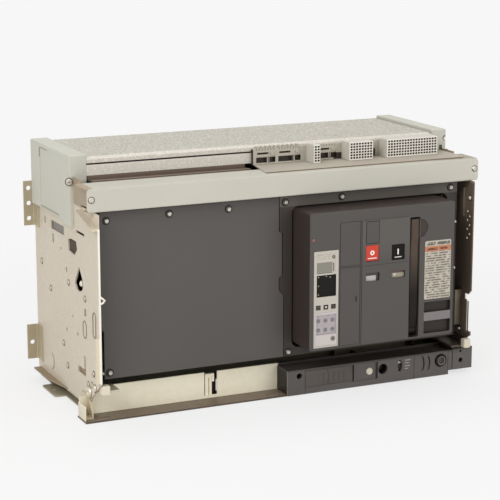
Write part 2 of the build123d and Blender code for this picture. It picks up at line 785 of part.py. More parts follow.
def shutter_guides():
    """Two U channels on the side plates in which the shutters run."""
    guides = []
    for hand in (-1, 1):
        outer = hand * (side_inner - seat)
        inner = hand * (side_inner - 14)
        x0, x1 = min(outer, inner), max(outer, inner)
        front = block(x0, x1, shutter_front - slide_gap - 2, shutter_front - slide_gap, 52.0, 428.0)
        rear = block(x0, x1, shutter_rear + slide_gap, shutter_rear + slide_gap + 2, 52.0, 428.0)
        guides += [front, rear]
    return gather(guides)


# Fasteners and rivets of the chassis
def beam_screws():
    screws = []
    for hand in (-1, 1):
        x = hand * beam_screw_x
        head = rod_y(beam_front - 2.6, beam_front, x, beam_screw_z, 5.4)
        screws.append(head + rod_y(beam_front - 0.1, arm_tip + side_sheet, x, beam_screw_z, 2.4))
    return screws


rivet_places = ((130.0, 242.0), (-29.0, 233.0), (-120.0, 222.0), (7.0, 107.0), (-14.0, 68.0),
                (78.0, 199.0), (-160.0, 90.0), (-150.0, 66.0), (-130.0, 62.0))
rivet_radius = 4.8
rivet_rise = 2.4


def side_rivets():
    rivets = []
    for y, z in rivet_places:
        head = rod_x(-half_width - rivet_rise, -half_width, y, z, rivet_radius)
        rivets += [head, mirrored(head)]
    return gather(rivets)


# Breaker front: a dark frame round the control cover and a grey blanking plate beside it.
seam_gap = 1.5
seam = ((fascia_top, -18.0), (322.0, -18.0), (318.0, -11.0), (236.0, -11.0), (232.0, -18.0),
        (208.0, -18.0), (198.0, -8.0), (fascia_bottom, -8.0))
plate_left = -371.0
plate_left_top = -376.0
plate_left_step = 166.0
fold_depth = 16.0


def blanking_plate():
    right = [(x, z) for z, x in seam]
    left = [(plate_left, fascia_bottom), (plate_left, plate_left_step), (plate_left_top, plate_left_step + 5),
            (plate_left_top, fascia_top)]
    sheet = from_front(fascia_front, outline(*(right + left)), front_sheet)
    sheet += block(plate_left, -8.0, fascia_front, fascia_front + fold_depth, fascia_bottom,
                   fascia_bottom + front_sheet)
    sheet += block(plate_left, -18.0, fascia_front, fascia_front + fold_depth, fascia_top - front_sheet,
                   fascia_top)
    return sheet


def front_frame():
    left = [(x + seam_gap, z) for z, x in seam]
    right = [(fascia_half, fascia_bottom), (fascia_half, fascia_top)]
    window = rounded(window_left, window_right, window_bottom, window_top, window_radius)
    sheet = from_front(fascia_front, outline(*(left + right)) - window, front_sheet)
    lip = rounded(window_left - 2.5, window_right + 2.5, window_bottom - 2.5, window_top + 2.5,
                  window_radius + 2.5) - window
    sheet += from_front(fascia_front, lip, fold_depth)
    sheet += block(fascia_half - front_sheet, fascia_half, fascia_front, fascia_front + fold_depth,
                   fascia_bottom, fascia_top)
    sheet += block(-8.0 + seam_gap, fascia_half, fascia_front, fascia_front + fold_depth, fascia_bottom,
                   fascia_bottom + front_sheet)
    return sheet


fascia_screw_places = ((-363.0, 372.0), (-241.0, 375.0), (-122.0, 374.0), (-5.0, 377.5), (115.0, 379.0),
                       (356.0, 378.5), (-361.0, 88.0), (2.0, 84.5))
washer_radius = 7.5
screw_head_radius = 5.0
chassis_washer = 1.2
screw_rise = 3.4


def fascia_screws():
    screws = []
    for x, z in fascia_screw_places:
        washer = rod_y(fascia_front - chassis_washer, fascia_front, x, z, washer_radius)
        head_rear = fascia_front - chassis_washer
        screws.append(washer + rod_y(head_rear - screw_rise, head_rear, x, z, screw_head_radius))
    return gather(screws)


# Control cover: a moulded box with openings for what is read and pressed.
face_y = cover_front + 1.5
face_wall = 3.5
trip_zone = (21.5, 73.0, 106.0, 292.5)
trip_gap = 0.3
centre_zone = (123.0, 225.0, 102.5, 343.0)
lock_field = (132.0, 158.0, 299.0, 340.0)
panel_line_z = 256.0
off_zone = (131.0, 158.5, 264.0, 294.5)
on_zone = (187.0, 214.5, 262.0, 291.5)
charge_window = (132.0, 160.0, 225.5, 240.5)
contact_window = (188.0, 216.0, 226.5, 239.5)
well_zone = (227.0, 249.0, 104.0, 341.0)
well_depth = 36.0
panel_zones = ((76.5, 119.5, 259.0, 343.5), (76.5, 119.5, 104.5, 256.0))
pocket_zones = ((261.0, 320.0, 150.0, 170.5), (261.0, 320.0, 108.0, 133.0))
pocket_depth = 7.0
scoop_z = 318.0
scoop_radius = 21.0
scoop_rise = 10.0
reset_x = 20.0
reset_z = 315.0
reset_radius = 2.6
flag_y = face_y + face_wall + seat
button_front = cover_front + 0.5
button_length = 16.0
pin_y = cover_front + 15.0
pin_z = 116.0
pin_radius = 4.0


def grown(zone, gap, radius=1.0):
    return rounded(zone[0] - gap, zone[1] + gap, zone[2] - gap, zone[3] + gap, radius)


def front_cover():
    shape = rounded(cover_left, cover_right, cover_bottom, cover_top, 5)
    cover = from_front(face_y, shape, cover_rear - face_y)
    cover = chamfer(cover.edges().group_by(Axis.Y)[0], 1.0)
    inner = rounded(cover_left + cover_wall, cover_right - cover_wall, cover_bottom + cover_wall,
                    cover_top - cover_wall, 3)
    well_outer = grown(well_zone, 2.0, 2.5)
    cavity = from_front(face_y + face_wall, inner, cover_rear - face_y)
    cavity -= from_front(face_y, well_outer, well_depth + 2)
    for zone in pocket_zones:
        cavity -= from_front(face_y, grown(zone, 2.0, 2.5), pocket_depth + 2)
    cover -= cavity
    cover -= from_front(face_y - 1, grown(well_zone, 0, 2.0), well_depth + 1)
    for zone in pocket_zones:
        cover -= from_front(face_y - 1, grown(zone, 0), pocket_depth + 1)
    through = grown(trip_zone, trip_gap)
    for zone in (off_zone, on_zone):
        through += grown(zone, 1.0)
    for zone in (charge_window, contact_window):
        through += grown(zone, 1.0)
    through += disc(reset_x, reset_z, reset_radius + bore_gap)
    cover -= from_front(face_y - 1, through, face_wall + 2)
    for zone in panel_zones:
        groove = grown(zone, 0.6) - grown(zone, -0.6)
        cover -= from_front(face_y - 1, groove, 1.0 + 1.0)
    x0 = well_zone[1]
    scoop = Pos(x0, face_y - scoop_rise, scoop_z) * Sphere(scoop_radius)
    scoop_face = face_y + face_wall - 1.2
    cover -= scoop & block(x0 - 1, x0 + 30, face_y - 1, scoop_face, scoop_z - 28, scoop_z + 27)
    cover += rod_x(well_zone[0] - 2.0, well_zone[1] + 2.0, pin_y, pin_z, pin_radius)
    return cover


def centre_panel():
    """Button plate on the cover, with its raised lock field above the OFF button."""
    sketch = grown(centre_zone, 0, 1.5)
    for zone in (off_zone, on_zone, charge_window, contact_window):
        sketch -= grown(zone, slide_gap, 1.2)
    front = cover_front + 0.3
    plate = from_front(front, sketch, face_y - front)
    plate += from_front(cover_front, rect(*lock_field), 0.8)
    return plate - block(centre_zone[0] + 6, centre_zone[1] - 2, front - 1, front + 0.4,
                         panel_line_z - 0.4, panel_line_z + 0.4)


def push_button(zone):
    body = from_front(button_front, grown(zone, 0), button_length)
    body = chamfer(body.edges().group_by(Axis.Y)[0], 0.6)
    return body + from_front(flag_y, grown(zone, 2.5, 1.5), 2.0)


flag_travel = 17.0


def indicator_flag(zone):
    """Two-field flag behind a window; it rises by one field."""
    low, high = zone[2] - 1.5 - flag_travel, zone[3] + 1.5
    return from_front(flag_y, rounded(zone[0] - 3, zone[1] + 3, low, high, 1.5), 1.6)


def reset_button():
    return rod_y(face_y - 0.9, face_y + 14.0, reset_x, reset_z, reset_radius)


# Charging handle: a lever that is pulled forwards about the pin at its foot.
handle_x = (230.0, 246.0)
handle_top = 337.0
handle_y = (cover_front + 4.0, cover_front + 20.0)


def charging_handle():
    foot_z = pin_z
    front, back = handle_y
    side = outline((front + 3.0, foot_z + 6), (front, foot_z + 30), (front, handle_top - 50),
                   (front - 3.5, handle_top - 36), (front - 3.5, handle_top), (front + 9, handle_top),
                   (front + 9, handle_top - 34), (back - 3, handle_top - 60), (back, foot_z + 6))
    lever = from_side(handle_x[0], side, handle_x[1] - handle_x[0])
    lever = fillet(lever.edges().filter_by(Axis.Z).group_by(Axis.Y)[0], 2.5)
    hub = rod_x(handle_x[0], handle_x[1], pin_y, foot_z, 8.0)
    lever += hub
    hollow = rect(front + 6, back + 1, foot_z + 40, handle_top - 64)
    lever -= from_side(handle_x[0] + 3, hollow, handle_x[1] - handle_x[0] - 6)
    lever -= rod_x(handle_x[0] - 1, handle_x[1] + 1, pin_y, foot_z, pin_radius + bore_gap)
    return lever


# Trip unit: pale moulded module with a display, a black screen, three keys and a sealed setting field.
screen_zone = (27.0, 67.5, 205.0, 246.5)
upper_zone = (27.0, 66.0, 250.0, 287.0)
key_places = (30.5, 46.5, 62.5)
key_z = 184.5
key_half = (4.6, 4.2)
flap_zone = (24.5, 70.0, 110.0, 172.4)
flap_thick = 1.8
flap_pivot_y = cover_front + 1.6
flap_pivot_z = 172.5
flap_knuckle = 1.2
flap_peg = 0.8
flap_peg_reach = 1.5
trip_depth = 34.0
dial_places = ((32.0, 158.0), (47.0, 158.0), (62.0, 158.0), (32.0, 140.0), (47.0, 140.0), (62.0, 140.0))


def trip_unit():
    body = from_front(cover_front + 0.4, grown(trip_zone, 0, 1.5), trip_depth)
    body = chamfer(body.edges().group_by(Axis.Y)[0], 0.5)
    body -= from_front(cover_front - 1, grown(screen_zone, 0), 1 + 2.2)
    body -= from_front(cover_front - 1, grown(upper_zone, 0), 1 + 1.2)
    body -= from_front(cover_front - 1, grown(flap_zone, 0.4), 1 + 0.4 + flap_thick + 0.6)
    hinge_room = rect(flap_zone[0] - 0.4, flap_zone[1] + 0.4, flap_pivot_z - 2,
                      flap_pivot_z + flap_knuckle + seat)
    body -= from_front(cover_front - 1, hinge_room, 1 + 0.4 + flap_thick + 0.8)
    peg_end = flap_peg_reach + seat
    body -= rod_x(flap_zone[0] - peg_end, flap_zone[1] + peg_end, flap_pivot_y, flap_pivot_z,
                  flap_peg + bore_gap)
    body += rod_y(cover_front + 0.6, cover_front + 2, 62.5, 280.0, 3.2)
    for x in key_places:
        key_seat = rect(x - key_half[0] - seat, x + key_half[0] + seat,
                        key_z - key_half[1] - seat, key_z + key_half[1] + seat)
        body -= from_front(cover_front - 1, key_seat, 1 + 6.4)
    floor_y = cover_front + 0.4 + flap_thick + 0.6
    for x, z in dial_places:
        body -= rod_y(floor_y - 0.5, floor_y + 1.2, x, z, 4.2)
        body += rod_y(floor_y + 0.2, floor_y + 2, x, z, 3.0)
    return body


def trip_key(x):
    return from_front(cover_front - 0.1, rect(x - key_half[0], x + key_half[0], key_z - key_half[1],
                                              key_z + key_half[1]), 4.5)


def trip_flap():
    """Flap over the setting dials, hinged along its upper edge, with a sealing screw."""
    plate = from_front(cover_front + 0.5, grown(flap_zone, 0), flap_thick)
    plate -= from_front(cover_front, rounded(28.0, 66.0, 132.0, 166.0, 2), 1.1)
    plate += rod_x(flap_zone[0], flap_zone[1], flap_pivot_y, flap_pivot_z, flap_knuckle)
    plate += rod_x(flap_zone[0] - flap_peg_reach, flap_zone[1] + flap_peg_reach, flap_pivot_y,
                   flap_pivot_z, flap_peg)
    plate += rod_y(cover_front + 0.1, cover_front + 0.9, 62.0, 122.0, 4.6)
    plate -= block(61.2, 62.8, cover_front - 1, cover_front + 0.5, 117.0, 127.0)
    return plate


# Moulded pole case: six cells open at the top, each with its chute, contacts and terminals.
case_half = 345.0
case_depth = 136.0
case_rear = depth(92.0)
case_front = case_rear - case_depth
case_bottom = 84.0
case_top = 372.0
cell_half = 50.0
cell_front = case_front + 10.0
cell_rear = case_rear - 12.0
cell_bottom = 100.0
link_slot = 10.0
arm_pivot_y = depth(150.0)
contact_face = arm_pivot_y + 6.0
chute_rear = cell_rear - 22.0
arm_pivot_z = load_z
arm_open = 18.0
arm_length = 142.0
chute_bottom = 322.0
chute_top = 384.0


def pole_case():
    case = block(-case_half, case_half, case_front, case_rear, case_bottom, case_top)
    case = fillet(case.edges().filter_by(Axis.Z), 4.0)
    cells = Sketch()
    for x in pole_centres():
        cells += rounded(x - cell_half, x + cell_half, cell_front, cell_rear, 4)
    case -= from_top(cell_bottom, cells, case_top)
    slots = Sketch()
    bars = Sketch()
    for x in pole_centres():
        slots += rect(x - link_slot, x + link_slot, 150, 230)
        for z in (line_z, load_z):
            bars += rect(x - bar_width / 2 - seat, x + bar_width / 2 + seat,
                         z - bar_thick / 2 - seat, z + bar_thick / 2 + seat)
    case -= from_front(case_front - 1, slots, 12)
    case -= from_front(cell_rear - 1, bars, case_rear - cell_rear + 2)
    for index in range(1, pole_count):
        x = (index - pole_count / 2) * pole_pitch
        case += block(x - 2.5, x + 2.5, case_front - 5, case_front + 1, case_bottom + 10, case_top - 10)
    return case


def line_terminals():
    """Upper bars with the fixed contact block at their inner end."""
    bars = []
    for x in pole_centres():
        bar = block(x - bar_width / 2, x + bar_width / 2, contact_face, blade_tip, line_z - bar_thick / 2,
                    line_z + bar_thick / 2)
        bar += block(x - 36, x + 36, contact_face, contact_face + 12, line_z - 22, line_z + 12)
        bars.append(chamfer(bar.edges().filter_by(Axis.X).group_by(Axis.Y)[-1], 2.0))
    return gather(bars)


def load_terminals():
    """Lower bars with the bearing ears of the moving contacts."""
    bars = []
    for x in pole_centres():
        bar = block(x - bar_width / 2, x + bar_width / 2, arm_pivot_y + 14, blade_tip, load_z - bar_thick / 2,
                    load_z + bar_thick / 2)
        for dx in (-39.0, 33.0):
            ear = outline((arm_pivot_y - 9, load_z - 9), (arm_pivot_y + 15, load_z - bar_thick / 2),
                          (arm_pivot_y + 15, load_z + bar_thick / 2), (arm_pivot_y - 9, load_z + 9))
            bar += from_side(x + dx, ear, 6.0)
        bar -= rod_x(x - 45, x + 45, arm_pivot_y, arm_pivot_z, 4.0 + bore_gap)
        bars.append(chamfer(bar.edges().filter_by(Axis.X).group_by(Axis.Y)[-1], 2.0))
    return gather(bars)


def moving_contacts():
    """Contact arms in the open position; each pole has five fingers on one pin."""
    arms = []
    for x in pole_centres():
        pole = rod_x(x - 39.0, x + 39.0, arm_pivot_y, arm_pivot_z, 4.0)
        pole += rod_x(x - 32.0, x + 32.0, arm_pivot_y, arm_pivot_z, 9.0)
        for index in range(5):
            left = x - 30.0 + index * 12.4
            finger = outline((arm_pivot_y - 6, load_z), (arm_pivot_y - 8, load_z + arm_length - 30),
                             (arm_pivot_y - 2, load_z + arm_length), (arm_pivot_y + 5.5, load_z + arm_length),
                             (arm_pivot_y + 5.5, load_z + arm_length - 26), (arm_pivot_y + 4, load_z))
            pole += from_side(left, finger, 10.4)
        carrier = outline((arm_pivot_y - 22, load_z + 40), (arm_pivot_y - 7, load_z + 30),
                          (arm_pivot_y - 7, load_z + 84), (arm_pivot_y - 16, load_z + 76))
        pole += from_side(x - 32.0, carrier, 64.0)
        arms.append(pole.rotate(Axis((0, arm_pivot_y, arm_pivot_z), (1, 0, 0)), arm_open))
    return gather(arms)


def arc_chutes():
    """Arc chutes: splitter plates in a moulded box that closes each cell at the top."""
    chutes = []
    for x in pole_centres():
        lid = block(x - cell_half - 4, x + cell_half + 4, case_front + 6, case_rear - 4,
                    chute_top - 12, chute_top)
        walls = rounded(x - cell_half + 1, x + cell_half - 1, cell_front + 1, chute_rear, 3.5)
        walls -= rect(x - cell_half + 5, x + cell_half - 5, cell_front + 5, chute_rear - 4)
        lid += from_top(chute_bottom, walls, chute_top - 12 - chute_bottom)
        count = 8
        span = chute_rear - cell_front - 12
        for index in range(count):
            y = cell_front + 7 + index * span / (count - 1)
            lid += block(x - cell_half + 4, x + cell_half - 4, y - 0.8, y + 0.8,
                         chute_bottom + 6, chute_top - 11)
        vents = Sketch()
        for index in range(6):
            vents += rect(x - 40, x + 40, case_front + 14 + index * 17, case_front + 20 + index * 17)
        lid -= from_top(chute_top - 4, vents, 5)
        chutes.append(lid)
    return gather(chutes)


def current_transformers():
    """Ring cores round the lower bars, inside the cells."""
    rings = []
    for x in pole_centres():
        y0, y1 = arm_pivot_y + 18, cell_rear - seat
        ring = rounded(x - 47.5, x + 47.5, load_z - 22, load_z + 22, 8)
        ring -= rect(x - bar_width / 2 - seat, x + bar_width / 2 + seat, load_z - bar_thick / 2 - seat,
                     load_z + bar_thick / 2 + seat)
        rings.append(from_front(y0, ring, y1 - y0))
    return gather(rings)


# Pole shaft in front of the case, with a crank at each half pole.
shaft_y = depth(252.0)
shaft_z = 176.0
shaft_radius = 13.0
shaft_half = 350.0
mech_x = (96.0, 306.0)


def pole_shaft():
    shaft = rod_x(-shaft_half, shaft_half, shaft_y, shaft_z, shaft_radius)
    for x in pole_centres():
        crank = outline((shaft_y - 12, shaft_z + 2), (shaft_y + 3, shaft_z + 40),
                        (shaft_y + 11, shaft_z + 36), (shaft_y + 12, shaft_z - 2))
        for dx in (-8.0, 4.0):
            shaft += from_side(x + dx, crank, 4.0)
        shaft += rod_x(x - 4.0, x + 4.0, shaft_y + 6, shaft_z + 34, 3.5)
    return shaft


ear_reach = (10.0, 20.0)


def breaker_sides():
    """Steel side plates of the breaker that hold the case, the pole shaft and the guide rollers."""
    plates = []
    for hand in (-1, 1):
        x0 = case_half + seat if hand > 0 else -case_half - seat - base_sheet
        shape = outline((fascia_front + fold_depth + 2, 96), (fascia_front + fold_depth + 2, 360),
                        (case_front, 384), (case_rear - 4, 384), (case_rear - 4, 66),
                        (fascia_front + fold_depth + 30, 66))
        shape -= disc(shaft_y, shaft_z, shaft_radius + bore_gap)
        plate = from_side(x0, shape, base_sheet)
        x1 = x0 if hand > 0 else x0 + base_sheet
        ear = [(x1, fascia_front + fold_depth + 4), (x1, fascia_front + fold_depth + 1.5),
               (x1 + hand * ear_reach[0], fascia_front + fold_depth + 1.5),
               (x1 + hand * ear_reach[0], fascia_front + front_sheet + seat),
               (x1 + hand * ear_reach[1], fascia_front + front_sheet + seat),
               (x1 + hand * ear_reach[1], fascia_front + fold_depth + 4)]
        plates.append(plate + from_top(96, outline(*ear), 264))
    return plates


roller_places = (depth(268.0), depth(190.0), depth(112.0))
roller_x = (355.0, 370.0)
roller_z = ledge_z[1] + seat + roller_radius
roller_pin = 4.5


def guide_rollers():
    """Rollers that carry the breaker on the extraction rails."""
    rollers = []
    for hand in (-1, 1):
        for y in roller_places:
            pin = rod_x(case_half + seat + base_sheet, roller_x[1], y, roller_z, roller_pin)
            roller = pin + rod_x(roller_x[0], roller_x[1], y, roller_z, roller_radius)
            rollers.append(roller if hand > 0 else mirrored(roller))
    return gather(rollers)


def underside_bar():
    """Cross bar below the case with the lugs that the carriage dogs push."""
    y0 = nut_y[0] + 8 + seat
    y1 = nut_y[1] - 8 - seat
    bar = block(-case_half - seat, case_half + seat, case_front + 20, case_front + 60, case_bottom - 5.3,
                case_bottom - seat)
    for x in (-dog_x, dog_x):
        bar += block(x - 11, x + 11, y0, y1, upright_top + 2 * seat, case_bottom - 5)
    return bar


# Stored-energy mechanism: two plates, the charging shaft with its cam and the closing spring.
mech_rear = case_front - 5.0 - seat
mech_y = (depth(300.0), mech_rear)
cam_y = depth(276.0)
cam_z = 276.0
cam_radius = 24.0
coil_z = (300.0, 326.0)
spring_x = mech_x[0] + 34
spring_y = mech_y[0] + 17
spring_low = 140.0


def mechanism_frame():
    shape = outline((mech_y[0], 110), (mech_y[0], 345), (mech_y[0] + 30, 360), (mech_y[1], 360),
                    (mech_y[1], 110))
    shape -= disc(shaft_y, shaft_z, shaft_radius + bore_gap)
    shape -= disc(cam_y, cam_z, 9.0 + bore_gap)
    shape -= slot_up(mech_y[0] + 16, 210.0, 90.0, 10.0)
    frame = from_side(mech_x[0], shape, 5.0)
    frame += from_side(mech_x[1] - 5.0, shape, 5.0)
    frame += block(mech_x[0], mech_x[1], mech_y[1] - 4, mech_y[1], 118, 130)
    frame += block(mech_x[0], mech_x[1], mech_y[1] - 4, mech_y[1], 330, 352)
    frame += rod_x(mech_x[0], mech_x[1], mech_y[0] + 12, 336.0, 5.0)
    frame += rod_x(mech_x[0], mech_x[1], mech_y[0] + 12, 124.0, 5.0)
    reach = cover_wall + seat
    for z0 in (338.0, 110.0):
        frame += block(cover_left + reach, cover_right - reach, mech_y[0] - 5, mech_y[0] + 2, z0, z0 + 6)
    frame += block(mech_x[0] + 4, spring_x + 15, spring_y - 12, spring_y + 12, spring_low - 9 - seat,
                   spring_low - 5 - seat)
    frame += block(mech_x[0] + 4, mech_x[1] - 4, mech_y[0] + 4, mech_y[0] + 52,
                   coil_z[1] - 1, coil_z[1] + 3)
    for index in range(3):
        x = mech_x[0] + 30 + index * 48
        frame += block(x - 17, x + 17, mech_y[0] + 4, mech_y[0] + 50, coil_z[0], coil_z[1])
        frame += rod_z(coil_z[0] - 8, coil_z[0], x, mech_y[0] + 28, 6.0)
    return frame


def charging_cam():
    """Charging shaft with its ratchet wheel and cam."""
    shaft = rod_x(mech_x[0] - 12, mech_x[1] + 14, cam_y, cam_z, 9.0)
    teeth = 24
    ratchet = []
    for index in range(teeth):
        turn = radians(index * 360 / teeth)
        step = radians(360 / teeth)
        ratchet.append((cam_y + cam_radius * cos(turn), cam_z + cam_radius * sin(turn)))
        ratchet.append((cam_y + (cam_radius - 3.0) * cos(turn + step * 0.15),
                        cam_z + (cam_radius - 3.0) * sin(turn + step * 0.15)))
    shaft += from_side(mech_x[1] + 3, outline(*ratchet), 7.0)
    lobe = make_hull([Pos(cam_y, cam_z) * Edge.make_circle(14.0),
                      Pos(cam_y + 2, cam_z + 12) * Edge.make_circle(8.0)])
    shaft += from_side(mech_x[0] + 41, lobe, 13.0)
    return shaft


spring_turns = 9
spring_radius = 13.0
spring_wire = 2.8
turn_half = 2.2
spring_pitch = 2 * spring_wire + 1.2


def closing_spring():
    """Closing spring between its two seats, drawn as closed turns on a guide rod."""
    x, y, low = spring_x, spring_y, spring_low
    high = low + spring_pitch * spring_turns
    spring = rod_z(low, high, x, y, spring_radius - spring_wire + 0.6)
    for index in range(spring_turns):
        z = low + (index + 0.5) * spring_pitch
        spring += rod_z(z - turn_half, z + turn_half, x, y, spring_radius + spring_wire)
    for z in (low - 5, high):
        spring += rod_z(z, z + 5, x, y, spring_radius + 3)
    return spring


def chassis_screws():
    return gather(beam_screws() + [cheek_screw(-1), cheek_screw(1)])


sub_parts = {
    "side_plate_left": lambda: side_plate(False),
    "side_plate_right": lambda: side_plate(True),
    "top_beam": top_beam,
    "base_channel": base_channel,
    "base_rails": lambda: gather([rear_rail(), foot_rail(), mirrored(foot_rail())]),
    "brackets": lambda: gather([corner_bracket()] + mounting_brackets()),
    "rear_wall": rear_wall,
    "connectors": lambda: gather([connector(x, z) for x, z in bar_places()]),
    "finger_clusters": lambda: gather([finger_cluster(x, z) for x, z in bar_places()]),
    "end_cheek_left": end_cheek,
    "end_cheek_right": lambda: mirrored(end_cheek()),
    "chassis_screws": chassis_screws,
    "chute_hood": chute_hood,
    "terminal_shelf": terminal_shelf,
    "terminal_carrier": terminal_carrier,
    "terminal_blocks": lambda: gather([terminal_block(*place) for place in terminal_places]),
    "racking_block": racking_block,
    "lock_plate": lock_plate,
    "release_button": release_button,
    "crank_handle": crank_handle,
    "position_flag": position_flag,
    "racking_screw": racking_screw,
    "racking_carriage": racking_carriage,
    "rail_left": extraction_rail,
    "rail_right": lambda: mirrored(extraction_rail()),
    "rail_pull_left": rail_pull,
    "rail_pull_right": lambda: mirrored(rail_pull()),
    "base_hook": base_hook,
    "line_shutter": lambda: shutter(*line_shutter_z),
    "load_shutter": lambda: shutter(*load_shutter_z),
    "shutter_guides": shutter_guides,
    "side_rivets": side_rivets,
    "blanking_plate": blanking_plate,
    "front_frame": front_frame,
    "fascia_screws": fascia_screws,
    "front_cover": front_cover,
    "centre_panel": centre_panel,
    "off_button": lambda: push_button(off_zone),
    "on_button": lambda: push_button(on_zone),
    "charge_flag": lambda: indicator_flag(charge_window),
    "contact_flag": lambda: indicator_flag(contact_window),
    "reset_button": reset_button,
    "charging_handle": charging_handle,
    "trip_unit": trip_unit,
    "trip_flap": trip_flap,
    "pole_case": pole_case,
    "line_terminals": line_terminals,
    "load_terminals": load_terminals,
    "moving_contacts": moving_contacts,
    "arc_chutes": arc_chutes,
    "current_transformers": current_transformers,
    "pole_shaft": pole_shaft,
    "breaker_sides": lambda: gather(breaker_sides() + [underside_bar()]),
    "guide_rollers": guide_rollers,
    "mechanism_frame": mechanism_frame,
    "charging_cam": charging_cam,
    "closing_spring": closing_spring,
}
for number, key_x in enumerate(key_places, start=1):
    sub_parts[f"trip_key_{number}"] = lambda key_x=key_x: trip_key(key_x)

os.makedirs("parts", exist_ok=True)
for part_name, make in sub_parts.items():
    export_step(make(), f"parts/{part_name}.step")
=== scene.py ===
from math import cos, pi, radians, sin

import bmesh
import bpy
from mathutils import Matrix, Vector


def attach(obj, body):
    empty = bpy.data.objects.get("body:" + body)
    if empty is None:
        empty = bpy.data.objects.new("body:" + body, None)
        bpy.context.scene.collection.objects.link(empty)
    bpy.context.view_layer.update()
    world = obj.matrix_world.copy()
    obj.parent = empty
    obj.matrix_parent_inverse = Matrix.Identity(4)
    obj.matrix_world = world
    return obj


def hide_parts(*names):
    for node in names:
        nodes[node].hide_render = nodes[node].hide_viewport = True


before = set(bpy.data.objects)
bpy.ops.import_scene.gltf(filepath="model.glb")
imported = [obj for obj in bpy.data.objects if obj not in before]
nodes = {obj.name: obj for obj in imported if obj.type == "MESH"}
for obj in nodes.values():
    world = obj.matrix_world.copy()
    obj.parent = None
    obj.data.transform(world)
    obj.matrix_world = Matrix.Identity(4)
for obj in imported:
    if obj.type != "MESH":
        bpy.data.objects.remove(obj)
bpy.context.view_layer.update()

mm = 0.001

# Camera: a long lens, a little above the top edge and to the left of the front,
# as a product photographer sets up to show the front, the left side and the top.
camera_lens = 123.738
camera_place = (-1.398146, -3.013474, 0.987574)
camera_drop = radians(12.4644)
camera_turn = radians(24.8069)
camera_data = bpy.data.cameras.new("camera")
camera_data.sensor_width = 36.0
camera_data.lens = camera_lens
camera = bpy.data.objects.new("camera", camera_data)
camera.location = camera_place
camera.rotation_euler = (pi / 2 - camera_drop, 0, -camera_turn)
bpy.context.scene.collection.objects.link(camera)
bpy.context.scene.camera = camera
bpy.context.scene.view_settings.view_transform = "Standard"


# Studio floor: one pale sheet of paper under the object. It runs out to white with
# distance, and near the object it keeps a soft contact shadow.
class Shade:
    """A socket in a node tree, with arithmetic that adds Math nodes."""

    def __init__(self, tree, socket):
        self.tree = tree
        self.socket = socket

    def add(self, kind, links, output=0, **settings):
        """A node of any type: its settings, then the links or values of its sockets."""
        node = self.tree.nodes.new(kind)
        for name, value in settings.items():
            setattr(node, name, value)
        for key, value in links.items():
            if isinstance(value, Shade):
                self.tree.links.new(value.socket, node.inputs[key])
            else:
                node.inputs[key].default_value = value
        return Shade(self.tree, node.outputs[output])

    def math(self, operation, *others):
        """A Math node whose first value is this socket."""
        return self.add("ShaderNodeMath", dict(enumerate((self, *others))), operation=operation)

    def __add__(self, other):
        return self.math("ADD", other)

    def __sub__(self, other):
        return self.math("SUBTRACT", other)

    def __rsub__(self, other):
        return self.add("ShaderNodeMath", {0: other, 1: self}, operation="SUBTRACT")

    def __mul__(self, other):
        return self.math("MULTIPLY", other)

    __radd__ = __add__
    __rmul__ = __mul__

    def ramp(self, low, high):
        """0 at low, 1 at high, and straight between them."""
        return self.add("ShaderNodeMapRange", {0: self, 1: low, 2: high, 3: 0.0, 4: 1.0}, clamp=True)

    def within(self, low, high, soft=0.15):
        """1 between two values and 0 outside them."""
        return self.ramp(low - soft, low + soft) * self.ramp(high + soft, high - soft)

    def tint(self, colour_a, colour_b):
        """Colour a where the socket is 0, colour b where it is 1."""
        return self.add("ShaderNodeMix", {0: self, 6: colour_a, 7: colour_b}, output=2, data_type="RGBA")

    def into(self, shader, name):
        """Feeds a socket of a shader."""
        self.tree.links.new(self.socket, shader.inputs[name])


def srgb(red, green, blue):
    """A colour as it is read off a screen, 0 to 255, as linear values."""
    linear = [((c / 255 + 0.055) / 1.055) ** 2.4 if c > 10 else c / 255 / 12.92 for c in (red, green, blue)]
    return (*linear, 1.0)


class Finish:
    """A material whose colour is laid on in coats. x, y and z are places in millimetres."""

    def __init__(self, name, metallic=0.0, specular=0.4):
        self.material = bpy.data.materials.new(name)
        self.material.use_nodes = True
        tree = self.material.node_tree
        self.shader = tree.nodes["Principled BSDF"]
        self.shader.inputs["Metallic"].default_value = metallic
        self.shader.inputs["Specular IOR Level"].default_value = specular
        self.place = Shade(tree, tree.nodes.new("ShaderNodeTexCoord").outputs["Object"])
        split = tree.nodes.new("ShaderNodeSeparateXYZ")
        tree.links.new(self.place.socket, split.inputs[0])
        self.x, self.y, self.z = [Shade(tree, socket) * 1000.0 for socket in split.outputs]
        self.colour = None

    def noise(self, scale, detail=3.0, stretch=None):
        """Fractal noise on object coordinates, stretched by three factors if given."""
        place = self.place
        if stretch:
            place = place.add("ShaderNodeMapping", {0: place, 3: stretch})
        return place.add("ShaderNodeTexNoise", {"Vector": place, "Scale": scale, "Detail": detail})

    def paint(self, colour):
        """Sets the colour that the next coats go over."""
        self.colour = colour
        colour.into(self.shader, "Base Color")

    def coat(self, mask, colour):
        """Lays a colour over the others where the mask is 1."""
        self.paint(mask.tint(self.colour, colour))

    def disc(self, centre, radius, soft=0.3):
        """1 within a radius of a point (x, z) of the front."""
        off_x = self.x - centre[0]
        off_z = self.z - centre[1]
        reach = (off_x * off_x + off_z * off_z).math("SQRT")
        return reach.ramp(radius + soft, radius - soft)

    def patch(self, low, high):
        """1 within a rectangle of the front, from its low to its high corner (x, z)."""
        return self.x.within(low[0], high[0]) * self.z.within(low[1], high[1])

    def roughen(self, height, depth, strength, low, span):
        """Roughness and a fine relief from one noise."""
        (height * span + low).into(self.shader, "Roughness")
        bump = height.add("ShaderNodeBump", {"Strength": strength, "Distance": depth, "Height": height})
        bump.into(self.shader, "Normal")


